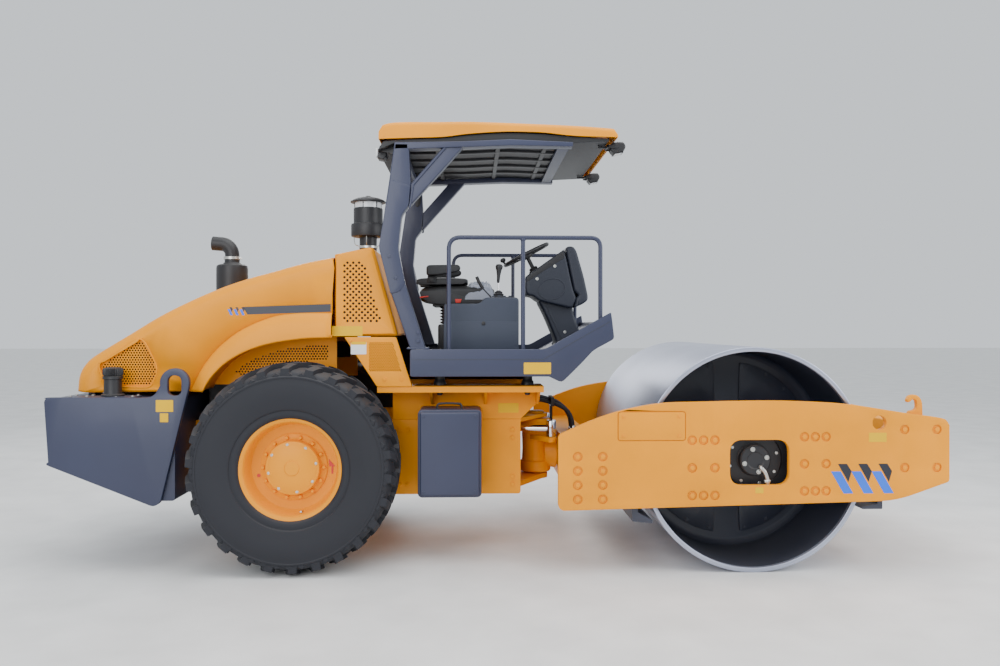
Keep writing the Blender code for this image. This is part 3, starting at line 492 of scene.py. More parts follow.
plate = {"inside": 1.1053, "outside": 1.150, "window": ((1.5465, 0.605), (1.9455, 0.906)),
    "tieDown": (2.556, 1.018), "cover": ((0.796, 0.903), (1.249, 1.098)), "pocket": 0.031, "skin": 0.012}
plateTop = [(3.022, 1.022), (2.976, 1.048), (2.728, 1.083), (2.366, 1.139), (2.070, 1.160), (1.777, 1.167),
    (1.324, 1.160), (1.081, 1.151), (0.837, 1.108), (0.613, 1.035), (0.413, 0.948)]
plateOutline = np.concatenate([roundCorners([(0.401, 0.930), (0.401, 0.443), (2.670, 0.495), (3.034, 0.621),
    (3.034, 1.000)], [0.001, 0.050, 0.12, 0.02, 0.001], 6), smoothCurve(plateTop, 4)])
plateBolts = ([(x, z) for x in (0.530, 0.696) for z in (0.800, 0.706, 0.612, 0.518)]
    + [(x, z) for x in (1.293, 1.369, 1.445) for z in (0.906, 0.539)] + [(1.293, 0.722), (1.445, 0.722)]
    + [(x, z) for x in (2.048, 2.121, 2.194) for z in (0.925, 0.564)] + [(2.048, 0.745), (2.194, 0.745)]
    + [(x, z) for x in (2.728, 2.948) for z in (0.971, 0.716)])


def buildSidePlates():
    window = roundCorners(rectangle(*plate["window"]), 0.085, 8)
    tieDown = circle(plate["tieDown"], 0.047, 32)
    access = roundCorners(rectangle(*plate["cover"]), 0.022, 5)
    pockets = [circle(place, plate["pocket"], 24) for place in plateBolts]
    for side, sign in sides.items():
        near, far = plate["inside"], plate["outside"]
        middle = far - plate["skin"]
        outer = pane(plateOutline, sign, middle, far, 0.004, [window, tieDown, access] + pockets)
        inner = pane(plateOutline, sign, near, middle, 0.003, [window, tieDown])
        makePiece(side + "SidePlate", [outer, inner], "yellow", "front_frame", ["side_plate_" + side],
            smooth=30)
        coverPlate = pane(insetLoop(access, 0.004), sign, far - 0.013, far + 0.001, 0.0025)
        makePiece(side + "AccessCover", [coverPlate], "yellow", "front_frame")
        screws = [(x, sign * (far + 0.001), z) for x in (0.835, 1.205) for z in (0.935, 1.065)]
        makePiece(side + "CoverScrews", bolts(screws, (0, sign, 0), radius=0.008, height=0.006), "yellow",
            "front_frame")
        heads = [(x, sign * (far - 0.0125), z) for x, z in plateBolts]
        makePiece(side + "PlateBolts", bolts(heads, (0, sign, 0), radius=0.017, height=0.016, washer=1.55),
            "yellow", "front_frame")
        sticker(side + "PlateLabel", "front_frame", sign, 2.543, 0.921, 0.120, 0.062, far)
        sticker(side + "PlateSmallLabel", "front_frame", sign, 1.743, 0.572, 0.054, 0.040, far)
        slantedBars(side, sign, "PlateBars", "front_frame", 2.226, 0.547, (0.065, 0.085, 0.147), 0.1375, far)


def slantedBars(side, sign, name, body, start, foot, size, gap, near, raised=0.0012):
    # three bars lean back to the top; a dark wedge sits behind the head of each
    width, lean, height = size
    bars, wedges = [], []
    for number in range(3):
        x = start + number * gap
        top = foot + height
        bars.append(pane([(x + lean, foot), (x + lean + width, foot), (x + width, top), (x, top)], sign, near,
            near + raised, 0))
        head = top + height * 0.343
        point = top - height * 0.486
        slope = lean / height
        edge = x + width * 1.17
        wedge = [(edge + (top - point) * slope, point), (x + width * 2.14, top), (x + width * 1.66, head),
            (edge - (head - top) * slope, head)]
        wedges.append(pane(wedge, sign, near, near + raised, 0))
    makePiece(side + name, bars, "blueStripe", body)
    makePiece(side + name + "Heads", wedges, "darkStripe", body)


buildSidePlates()


def buildBeams():
    rear = roundCorners([(0.505, 0.490), (0.740, 0.490), (0.740, 0.840), (0.505, 0.840)], 0.012, 3)
    front = roundCorners([(2.690, 0.680), (2.990, 0.680), (2.990, 1.020), (2.690, 1.020)], 0.012, 3)
    makePiece("rearBeam", [slab(rear, -1.105, 1.105, "Y", 0.002)], "yellow", "front_frame", ["rear_beam"])
    makePiece("frontBeam", [slab(front, -1.105, 1.105, "Y", 0.002)], "yellow", "front_frame", ["front_beam"])
    hook = smoothCurve([(2.800, 1.022), (2.846, 1.020), (2.890, 1.022), (2.892, 1.090), (2.888, 1.150),
        (2.868, 1.185), (2.835, 1.198), (2.802, 1.188), (2.788, 1.165), (2.791, 1.148), (2.806, 1.150),
        (2.822, 1.165), (2.842, 1.163), (2.852, 1.145), (2.852, 1.110), (2.836, 1.094), (2.802, 1.083),
        (2.798, 1.050)], 4, closed=True)
    for side, sign in sides.items():
        makePiece(side + "LiftingHook", [pane(hook, sign, 1.030, 1.070, 0.005)], "yellow", "front_frame",
            ["lifting_hook_" + side])
    scrapers = {"Rear": [(0.900, 0.360), (1.035, 0.345), (1.040, 0.365), (0.940, 0.420), (0.940, 0.530),
        (0.900, 0.530)], "Front": [(2.455, 0.445), (2.460, 0.430), (2.600, 0.430), (2.600, 0.570),
        (2.565, 0.570), (2.565, 0.465)],}
    for name, outline in scrapers.items():
        makePiece("scraper" + name, [slab(roundCorners(outline, 0.006, 2), -1.100, 1.100, "Y", 0.002)],
            "darkPaint", "front_frame", ["scraper_" + name.lower()])


buildBeams()

# drum: a polished shell with bulkheads, cover plates and a motor behind each window

drum = {"x": 1.735, "z": 0.7615, "radius": 0.7615, "half": 1.065, "shell": 0.032, "edge": 0.006}


def buildDrum():
    centre = (drum["x"], 0, drum["z"])
    r, half, inner = drum["radius"], drum["half"], drum["radius"] - drum["shell"]
    edge = arcPoints((r - drum["edge"], half - drum["edge"]), drum["edge"], 0, 90, 4)
    profile = [(inner, 0.400), (inner, half - 0.004), (inner + 0.004, half)] + edge[::-1].tolist()
    profile += [(a, -b) for a, b in profile[::-1]]
    makePiece("drumShell", [turn(profile, centre, (0, 1, 0), 160)], "steel", "drum", ["drum"], smooth=50)
    for side, sign in sides.items():
        web = [(0.120, sign * 0.400), (0.120, sign * 0.430), (0.140, sign * 0.436), (0.300, sign * 0.436),
            (0.312, sign * 0.430), (inner - 0.05, sign * 0.430), (inner - 0.032, sign * 0.434),
            (inner - 0.012, sign * 0.450), (inner - 0.002, sign * 0.470), (inner - 0.002, sign * 0.400)]
        makePiece(side + "DrumWeb", [turn(web, centre, (0, 1, 0), 96, closed=True)], "darkPaint", "drum")
        lining = [(inner - 0.001, sign * 0.440), (inner - 0.0015, sign * 0.70),
            (inner - 0.001, sign * (half - 0.03)), (inner + 0.0005, sign * (half - 0.03)),
            (inner + 0.0005, sign * 0.440)]
        makePiece(side + "DrumLining", [turn(lining, centre, (0, 1, 0), 128, closed=True)], "darkPaint",
            "drum")
        covers, heads = [], []
        for quarter in range(4):
            middle = 45 + 90 * quarter
            rim = arcPoints((drum["x"], drum["z"]), 0.640, middle - 36, middle + 36, 24)
            hub = arcPoints((drum["x"], drum["z"]), 0.350, middle + 30, middle - 30, 14)
            outline = roundCorners(np.concatenate([rim, hub]), 0.02, 2)
            covers.append(pane(outline, sign, 0.431, 0.443, 0.003))
            ring = np.radians(np.linspace(middle - 32, middle + 32, 5))
            for radius, turned in ((0.618, ring), (0.372, ring[1:-1])):
                heads += [(drum["x"] + radius * math.cos(a), sign * 0.443, drum["z"] + radius * math.sin(a))
                    for a in turned]
        makePiece(side + "DrumCovers", covers, "darkPaint", "drum")
        makePiece(side + "DrumCoverBolts", bolts(heads, (0, sign, 0), radius=0.011, height=0.009),
            "darkPaint", "drum")


buildDrum()


def buildDrumSupports():
    x, z = drum["x"], drum["z"]
    for side, sign in sides.items():
        outline = roundCorners(rectangle((x - 0.480, z - 0.270), (x + 0.480, z + 0.210)), 0.085, 6)
        holes = [circle((x + a, z - 0.030), 0.045, 24) for a in (-0.28, 0.28)]
        parts = [pane(outline, sign, 0.990, 1.030, 0.005, holes)]
        body = [(0.119, 0.372), (0.119, 0.436), (0.165, 0.440), (0.176, 0.600), (0.200, 0.930),
            (0.200, 1.036), (0.190, 1.044), (0.112, 1.046), (0.104, 1.052), (0.104, 1.090), (0.096, 1.098),
            (0.060, 1.100), (0.052, 1.094), (0.010, 1.094)]
        parts.append(turn([(r, sign * h) for r, h in body], (x, 0, z), (0, 1, 0), 64))
        for across in (-0.375, 0.375):
            for above in (-0.215, 0.155):
                rubber = [(0.046, 1.024), (0.055, 1.034), (0.050, 1.050), (0.055, 1.066), (0.050, 1.084),
                    (0.055, 1.096), (0.046, 1.104)]
                parts.append(turn([(r, sign * h) for r, h in rubber], (x + across, 0, z + above), (0, 1, 0),
                    32))
        makePiece(side + "DrumSupport", parts, "black", "front_frame", ["drum_support_" + side])
        ring = np.radians(np.arange(15, 375, 45))
        heads = [(x + 0.165 * math.cos(a), sign * 1.040, z + 0.165 * math.sin(a)) for a in ring]
        heads += [(x + 0.078 * math.cos(a), sign * 1.099, z + 0.078 * math.sin(a)) for a in ring[::2]]
        makePiece(side + "SupportBolts", bolts(heads, (0, sign, 0), radius=0.012, height=0.012), "zinc",
            "front_frame")
        elbow = pipe([(x + 0.03, sign * 1.098, z - 0.04), (x + 0.035, sign * 1.114, z - 0.05),
            (x + 0.06, sign * 1.120, z - 0.085), (x + 0.075, sign * 1.112, z - 0.16),
            (x + 0.02, sign * 1.085, z - 0.235)], 0.014, 14, 8, up=(0.2, 1, 0.1))
        nut = turn([(0.019, 0), (0.022, 0.004), (0.022, 0.018), (0.019, 0.022)],
            (x + 0.072, sign * 1.112, z - 0.125), (0.1, 0, -1), 6)
        makePiece(side + "MotorElbow", [elbow, nut], "zinc", "front_frame")
        hose = pipe([(x + 0.02, sign * 1.085, z - 0.235), (x - 0.10, sign * 1.060, z - 0.285),
            (x - 0.40, sign * 1.055, z - 0.290), (x - 0.80, sign * 1.060, z - 0.23),
            (x - 0.98, sign * 1.060, z - 0.14)], 0.017, 14, 10)
        makePiece(side + "MotorHose", [hose], "rubber", "front_frame")


buildDrumSupports()
print("front frame and drum built")

# wheels: tyres with chevron lugs, rims with flanges, hubs, bolts and paint marks

wheel = {"x": -1.375, "y": 0.855, "z": 0.710, "radius": 0.710, "lugs": 26, "lugHeight": 0.034, "buttons": 48}


def buildTyre(side, sign):
    # the carcass is a turned section; each row of lugs is one bar repeated round it
    centre = (wheel["x"], sign * wheel["y"], wheel["z"])
    top = wheel["radius"] - wheel["lugHeight"]
    section = [(0.338, 0.204), (0.352, 0.222), (0.372, 0.229), (0.395, 0.228), (0.402, 0.236), (0.430, 0.244),
        (0.500, 0.2575), (0.560, 0.260), (0.606, 0.255), (0.612, 0.259), (0.622, 0.259), (0.628, 0.252),
        (0.648, 0.240), (0.662, 0.215), (0.671, 0.16), (top, 0.08)]
    profile = smoothCurve(section, 3)
    profile = np.concatenate([profile, (profile * (1, -1))[::-1]])
    carcass = turn(profile, centre, (0, 1, 0), 160, closed=True)
    lugs = []
    rows = ((0.02, 0.165, 0.115, 0.052), (0.150, 0.252, 0.040, 0.062))
    for row, (start, end, skew, width) in enumerate(rows):
        for half in (-1, 1):
            lugs.append(lugRow(centre, start * half, end * half, skew, width, top, row, half))
    makePiece(side + "Tyre", [carcass] + lugs, "rubber", "wheel_" + side, ["tyre_" + side], smooth=30)
    buttons = []
    for angle in np.arange(wheel["buttons"]) * 2 * math.pi / wheel["buttons"]:
        radial = np.array([math.cos(angle), 0, math.sin(angle)])
        place = np.array(centre) + radial * 0.634 + np.array([0, sign * 0.2475, 0])
        along = np.array([-math.sin(angle), 0, math.cos(angle)])
        buttons.append(diamond(place, radial, along, (0, sign, 0)))
    makePiece(side + "TyreButtons", buttons, "rubber", "wheel_" + side, smooth=25)


def diamond(place, radial, along, outward):
    # a low pyramid with a flat top, four sides
    outward = np.asarray(outward, float)
    corners = np.array([radial * 0.021, along * 0.030, -radial * 0.021, -along * 0.030])
    low, high = place + corners - outward * 0.004, place + corners * 0.7 + outward * 0.007
    return np.concatenate([low, high]), [gridFaces(2, 4, closeColumns=True), np.array([[4, 5, 6, 7]]),
        np.array([[3, 2, 1, 0]])]


def lugRow(centre, yStart, yEnd, skew, width, top, row, half):
    # a lug is a bar across the tread, slanted along the turn, following the shoulder's drop
    count, across = wheel["lugs"], 7
    along = np.linspace(0, 1, across)
    y = yStart + (yEnd - yStart) * along
    turned = skew * along / top
    drop = wheel["lugHeight"] * (np.abs(y) / 0.252) ** 3.2
    crown = wheel["radius"] - drop
    base = np.full(across, top - 0.030) - drop
    wide = width / top / 2
    angles = np.stack([turned - wide * 1.15, turned - wide * 0.85, turned + wide * 0.85,
        turned + wide * 1.15])
    radii = np.stack([base, crown, crown, base])
    offset = 2 * math.pi * (np.arange(count) + (0.5 if half > 0 else 0.0)) / count + (0.10 if row else 0.0)
    a = angles[None] + offset[:, None, None]
    points = np.stack([centre[0] + radii * np.cos(a), np.broadcast_to(centre[1] + y, a.shape),
        centre[2] + radii * np.sin(a)], -1)
    lug = gridFaces(4, across, closeRows=True)
    ends = np.array([[0, 7, 14, 21], [27, 20, 13, 6]])
    starts = (np.arange(count) * 4 * across)[:, None, None]
    return points.reshape(-1, 3), [(lug[None] + starts).reshape(-1, 4), (ends[None] + starts).reshape(-1, 4)]


def buildRim(side, sign):
    centre = (wheel["x"], sign * wheel["y"], wheel["z"])
    lip = [(0.336, 0.205), (0.350, 0.213), (0.362, 0.219), (0.3675, 0.214), (0.3665, 0.206), (0.352, 0.202),
        (0.338, 0.190), (0.330, 0.160), (0.330, 0.0), (0.335, -0.19), (0.336, -0.204), (0.318, -0.204),
        (0.312, -0.10), (0.305, 0.020), (0.290, 0.036), (0.240, 0.042), (0.206, 0.040), (0.206, 0.060),
        (0.228, 0.064), (0.262, 0.062), (0.288, 0.066), (0.302, 0.084), (0.307, 0.120), (0.309, 0.170),
        (0.315, 0.192), (0.325, 0.203)]
    profile = [(r, sign * h) for r, h in lip]
    makePiece(side + "Rim", [turn(profile, centre, (0, 1, 0), 96, closed=True)], "yellow", "wheel_" + side,
        ["rim_" + side], smooth=40)
    hub = [(0.206, -0.024), (0.212, 0.030), (0.224, 0.066), (0.226, 0.074), (0.216, 0.080), (0.196, 0.082),
        (0.186, 0.092), (0.184, 0.124), (0.178, 0.136), (0.160, 0.140), (0.150, 0.146), (0.052, 0.150),
        (0.046, 0.156), (0.020, 0.158)]
    makePiece(side + "Hub", [turn([(r, sign * h) for r, h in hub], centre, (0, 1, 0), 72)], "yellow", "wheel_"
        + side, smooth=40)
    ring = np.arange(14) * 2 * math.pi / 14
    heads = [(centre[0] + 0.2045 * math.cos(a), centre[1] + sign * 0.079, centre[2] + 0.2045 * math.sin(a))
        for a in ring]
    makePiece(side + "WheelBolts", bolts(heads, (0, sign, 0), radius=0.013, height=0.028, washer=1.25),
        "yellow", "wheel_" + side)
    ring = np.arange(8) * 2 * math.pi / 8 + 0.2
    heads = [(centre[0] + 0.160 * math.cos(a), centre[1] + sign * 0.139, centre[2] + 0.160 * math.sin(a))
        for a in ring]
    makePiece(side + "HubBolts", bolts(heads, (0, sign, 0), radius=0.008, height=0.008), "zinc", "wheel_"
        + side)
    arrow = np.array([(0.232, 0.05), (0.276, 0.0), (0.262, 0.0), (0.262, -0.05), (0.250, -0.05), (0.250, 0.0),
        (0.236, 0.0)])
    marks = [pane(arrow + (centre[0], centre[2]), 1, centre[1] + sign * 0.063, centre[1] + sign * 0.0665, 0)]
    marks.append(pane(circle((centre[0] - 0.24, centre[2] - 0.06), 0.012, 16), 1, centre[1] + sign * 0.063,
        centre[1] + sign * 0.0665, 0))
    makePiece(side + "WheelMarks", marks, "redMark", "wheel_" + side)
    stem = pipe([(centre[0] + 0.06, centre[1] + sign * 0.09, centre[2] - 0.296), (centre[0] + 0.06,
        centre[1] + sign * 0.15, centre[2] - 0.29)], 0.007, 10, 4, smooth=False)
    makePiece(side + "Valve", [stem], "zinc", "wheel_" + side)


for side, sign in sides.items():
    buildTyre(side, sign)
    buildRim(side, sign)


def buildAxle():
    profile = [(0.10, -0.829), (0.10, -0.704), (0.168, -0.700), (0.170, -0.690), (0.170, -0.570),
        (0.160, -0.556), (0.112, -0.520), (0.110, -0.300), (0.150, -0.230), (0.205, -0.170), (0.210, -0.150)]
    profile += [(r, -h) for r, h in profile[::-1]]
    makePiece("rearAxle", [turn(profile, (wheel["x"], 0, wheel["z"]), (0, 1, 0), 64)], "black", "rear_frame",
        ["rear_axle"])


buildAxle()
print("wheels built")

# rear frame: chassis, platform rails, articulation and hoses


def buildChassis():
    wall = roundCorners([(-2.180, 0.560), (-1.950, 0.430), (0.190, 0.430), (0.190, 0.980), (-2.180, 0.980)],
        [0.03, 0.05, 0.02, 0.004, 0.004], 5)
    tunnel = circle((-1.375, 0.710), 0.111, 32)
    parts = [pane(wall, sign, 0.450, 0.480, 0.003, [tunnel]) for sign in (-1, 1)]
    parts.append(slab(rectangle((-1.950, -0.455), (-0.480, 0.455)), 0.430, 0.460, "Z", 0.002))
    parts.append(slab(rectangle((-0.455, 0.560), (0.455, 0.980)), -2.180, -2.150, "X", 0.002))
    nose = arcPoints((0.335, 0), 0.095, -60, 60, 16)
    ear = np.concatenate([[(-0.250, -0.455), (0.170, -0.455)], nose, [(0.170, 0.455), (-0.250, 0.455)]])
    parts.append(slab(ear, 0.950, 0.979, "Z", 0.004))
    parts.append(slab(ear, 0.470, 0.510, "Z", 0.004))
    pin = [(0.049, -0.080), (0.049, 0.040), (0.068, 0.041), (0.068, 0.052), (0.060, 0.056), (0.010, 0.056)]
    parts.append(turn([(r, 0.940 + h) for r, h in pin], (0.335, 0, 0), (0, 0, 1), 40))
    parts.append(turn([(r, 0.520 - h) for r, h in pin], (0.335, 0, 0), (0, 0, 1), 40))
    parts.append(slab(rectangle((-0.485, -0.455), (-0.345, 0.455)), 0.780, 0.820, "Z", 0.003))
    makePiece("chassisFrame", parts, "yellow", "rear_frame", ["chassis"], smooth=30)
    heads = [(x, sign * 0.480, z) for sign in (-1, 1) for x, z in ((0.130, 0.905), (0.130, 0.845),
        (0.130, 0.560), (0.130, 0.500), (-0.640, 0.900), (-0.700, 0.900), (-0.640, 0.500), (-0.700, 0.500),
        (-1.15, 0.50), (-1.60, 0.50))]
    parts = []
    for head in heads:
        parts += bolt(head, (0, np.sign(head[1]), 0), 0.015, 0.014)
    makePiece("chassisBolts", parts, "yellow", "rear_frame")
    pins = [turn([(0.020, 0.800), (0.020, 0.948), (0.030, 0.949), (0.030, 0.954), (0.008, 0.956)],
        (-0.415, sign * 0.14, 0), (0, 0, 1), 24) for sign in (-1, 1)]
    makePiece("cylinderPins", pins, "zinc", "rear_frame")


buildChassis()


def buildRails():
    for side, sign in sides.items():
        web = roundCorners([(-0.750, 0.981), (0.190, 0.981), (0.330, 1.115), (0.330, 1.240), (-0.750, 1.240)],
            0.004, 2)
        parts = [pane(web, sign, 0.450, 0.480, 0.002)]
        flange = roundCorners(planOf(sign, -0.835, 0.340, 0.450, 0.745), 0.012, 3)
        parts.append(slab(flange, 1.215, 1.240, "Z", 0.002))
        lip = roundCorners([(-0.835, 1.196), (0.340, 1.196), (0.340, 1.238), (-0.835, 1.238)], 0.003, 2)
        parts.append(pane(lip, sign, 0.733, 0.747, 0.002))
        for x in (-0.470, -0.080, 0.300):
            gusset = [(sign * 0.470, 1.230), (sign * 0.470, 1.100), (sign * 0.500, 1.092),
                (sign * 0.715, 1.200), (sign * 0.715, 1.230)]
            parts.append(slab(gusset, x, x + 0.020, "X", 0.003))
        makePiece(side + "PlatformRail", parts, "yellow", "rear_frame", ["platform_rail_" + side], smooth=30)
        washers = []
        for x in (-0.400, 0.233):
            dome = [(0.052, 0.0), (0.060, -0.006), (0.060, -0.012), (0.040, -0.026), (0.022, -0.030),
                (0.018, -0.046), (0.008, -0.048)]
            washers.append(turn([(r, 1.214 + h) for r, h in dome], (x, sign * 0.600, 0), (0, 0, 1), 32))
        makePiece(side + "MountWashers", washers, "black", "rear_frame")
    sticker("chassisLabel", "rear_frame", -1, 0.100, 1.062, 0.150, 0.070, 0.4803)


buildRails()


def buildYoke():
    housing = [(0.112, 0.522), (0.120, 0.532), (0.120, 0.600), (0.108, 0.612), (0.104, 0.700), (0.108, 0.845),
        (0.120, 0.856), (0.120, 0.928), (0.112, 0.938), (0.0507, 0.938), (0.0507, 0.522)]
    parts = [turn(housing, (0.335, 0, 0), (0, 0, 1), 56, closed=True)]
    shaft = [(0.080, 0.390), (0.115, 0.400), (0.135, 0.470), (0.135, 0.494), (0.099, 0.496), (0.099, 0.750),
        (0.090, 0.760)]
    parts.append(turn(shaft, (0, 0, 0.680), (1, 0, 0), 56))
    arm = [(0.275, -0.080), (0.415, -0.310), (0.440, -0.316), (0.465, -0.300), (0.480, -0.270), (0.447, 0),
        (0.480, 0.270), (0.465, 0.300), (0.440, 0.316), (0.415, 0.310), (0.275, 0.080)]
    parts.append(slab(roundCorners(arm, 0.012, 3), 0.780, 0.820, "Z", 0.004))
    makePiece("steeringYoke", parts, "yellow", "yoke", ["yoke"])
    ring = np.radians(np.arange(0, 360, 45) + 20)
    heads = [(0.4695, 0.118 * math.cos(a), 0.680 + 0.118 * math.sin(a)) for a in ring]
    makePiece("yokeBolts", bolts(heads, (-1, 0, 0), radius=0.010, height=0.010), "zinc", "yoke")


buildYoke()


cylinder = {"anchor": (-0.415, 0.140, 0.885), "lug": (0.435, 0.270, 0.885)}


def buildCylinders():
    for side, sign in sides.items():
        anchor = np.array(cylinder["anchor"]) * (1, sign, 1)
        lug = np.array(cylinder["lug"]) * (1, sign, 1)
        length = np.linalg.norm(lug - anchor)
        along = (lug - anchor) / length
        barrel = [(0.030, 0.030), (0.046, 0.040), (0.050, 0.050), (0.050, 0.500), (0.052, 0.505),
            (0.052, 0.548), (0.047, 0.556), (0.031, 0.560), (0.0267, 0.556)]
        eye = [(0.0207, 0.822), (0.040, 0.822), (0.042, 0.826), (0.042, 0.944), (0.040, 0.948),
            (0.0207, 0.948)]
        parts = [turn(barrel, anchor, along, 40), turn(eye, (anchor[0], anchor[1], 0), (0, 0, 1), 36,
            closed=True)]
        for place in (0.075, 0.515):
            parts.append(turn([(0.011, 0), (0.013, 0.004), (0.013, 0.020), (0.010, 0.026)], anchor + along
                * place + (0, 0, 0.046), (0, 0, 1), 6))
        makePiece(side + "Cylinder", parts, "black", "cylinder_" + side, ["cylinder_" + side])
        rod = turn([(0.020, length - 0.600), (0.0258, length - 0.595), (0.0258, length - 0.012)], anchor,
            along, 40)
        end = [(0.010, 0.822), (0.034, 0.822), (0.038, 0.828), (0.038, 0.942), (0.034, 0.948), (0.010, 0.948)]
        makePiece(side + "Rod", [rod, turn(end, (lug[0], lug[1], 0), (0, 0, 1), 36)], "chrome", "rod_" + side,
            ["rod_" + side])


buildCylinders()


frameHose = {"count": 6, "spacing": 0.034, "radius": 0.0155}


def buildFrameHoses():
    # six hoses cross the joint, held by a clamp block on the yoke, so each is two runs
    radius = frameHose["radius"]
    for number in range(frameHose["count"]):
        y = (number - (frameHose["count"] - 1) / 2) * frameHose["spacing"]
        rise = 0.014 * (number % 2)
        rear = pipe([(0.02, y, 1.020), (0.13, y, 1.058 + rise), (0.26, y - 0.01, 1.086 + rise),
            (0.37, y, 1.086 + rise), (0.46, y, 1.064 + rise)], radius, 14, 8)
        piece = makePiece("rearHose" + str(number), [rear], "rubber", None)
        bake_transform(piece)
        front = pipe([(0.46, y, 1.064 + rise), (0.52, y - 0.006, 1.040 + rise), (0.58, y - 0.012, 1.000),
            (0.615, y - 0.015, 0.930), (0.625, y - 0.015, 0.842)], radius, 14, 8)
        piece = makePiece("frontHose" + str(number), [front], "rubber", None)
        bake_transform(piece)
        fitting = [(0.017, 0.0), (0.021, 0.003), (0.021, 0.020), (0.0165, 0.023), (0.0165, 0.045),
            (0.0158, 0.046)]
        makePiece("hoseFitting" + str(number), [turn(fitting, (0.625, y - 0.015, 0.8405), (0, 0, 1), 24)],
            "zinc", "front_frame")
    block = slab(roundCorners(rectangle((-0.118, 1.036), (0.118, 1.108)), 0.008, 3), 0.447, 0.475, "X", 0.003)
    foot = slab(rectangle((-0.020, 0.800), (0.020, 1.040)), 0.448, 0.470, "X", 0.002)
    makePiece("hoseClamp", [block, foot], "black", "yoke")


buildFrameHoses()
print("rear frame and articulation built")

# hood: a crowned shell with rounded shoulders, flared wheel arches, grilles and stripes

hood = {"half": 0.757, "round": 0.078, "front": -1.145, "lift": 0.022, "crown": 0.012}
hoodTop = [(-1.145, 2.141), (-1.352, 2.099), (-1.573, 2.037), (-1.750, 1.987), (-1.940, 1.920),
    (-2.124, 1.841), (-2.343, 1.731), (-2.561, 1.598), (-2.779, 1.464), (-2.856, 1.400), (-2.900, 1.321),
    (-2.914, 1.212)]
flareCrease = [(-2.124, 1.212), (-2.085, 1.300), (-2.036, 1.387), (-1.975, 1.470), (-1.905, 1.542),
    (-1.820, 1.610), (-1.728, 1.664), (-1.620, 1.710), (-1.507, 1.743), (-1.340, 1.758), (-1.145, 1.758)]
flareLip = [(-2.030, 1.212), (-1.992, 1.285), (-1.948, 1.342), (-1.888, 1.402), (-1.816, 1.452),
    (-1.730, 1.497), (-1.639, 1.530), (-1.550, 1.553), (-1.462, 1.568), (-1.310, 1.586), (-1.145, 1.590)]
grille = [(-2.765, 1.399), (-2.497, 1.582), (-2.442, 1.564), (-2.349, 1.365), (-2.397, 1.236),
    (-2.700, 1.245)]


def normalsAlong(path):
    ahead = np.gradient(path, axis=0)
    ahead /= np.linalg.norm(ahead, axis=1, keepdims=True)
    return np.stack([ahead[:, 1], -ahead[:, 0]], -1)


def hoodShell():
    # stations along the side view; across it a slight crown, a quarter-circle shoulder and a flat side
    path = smoothCurve(hoodTop, 8)
    inward = normalsAlong(path)
    if inward[0, 1] > 0:
        inward = -inward
    flatHalf = hood["half"] - hood["round"]
    across = np.linspace(-1, 1, 25)
    swing = np.linspace(0, math.pi / 2, 13)[1:]
    yMiddle = across * flatHalf
    sinkMiddle = hood["crown"] * across ** 2 - hood["lift"]
    ySide = flatHalf + hood["round"] * np.sin(swing)
    sinkSide = hood["crown"] - hood["lift"] + hood["round"] * (1 - np.cos(swing))
    y = np.concatenate([-ySide[::-1], yMiddle, ySide])
    sink = np.concatenate([sinkSide[::-1], sinkMiddle, sinkSide])
    flat = path[:, None] + inward[:, None] * sink[None, :, None]
    points = np.stack([flat[..., 0], np.broadcast_to(y, flat.shape[:2]), flat[..., 1]], -1)
    return points, flat[:, -1]


def bandAlong(rowA, rowB, steps, out, start):
    # a quarter ellipse from the crease on the side to the lip: it leaves the side square and ends upright
    t = np.linspace(0, math.pi / 2, steps)[:, None]
    flat = rowA[None] + (rowB - rowA)[None] * (1 - np.cos(t))[..., None]
    depth = start + (out - start) * np.sin(t)
    return flat, np.broadcast_to(depth, flat.shape[:2])


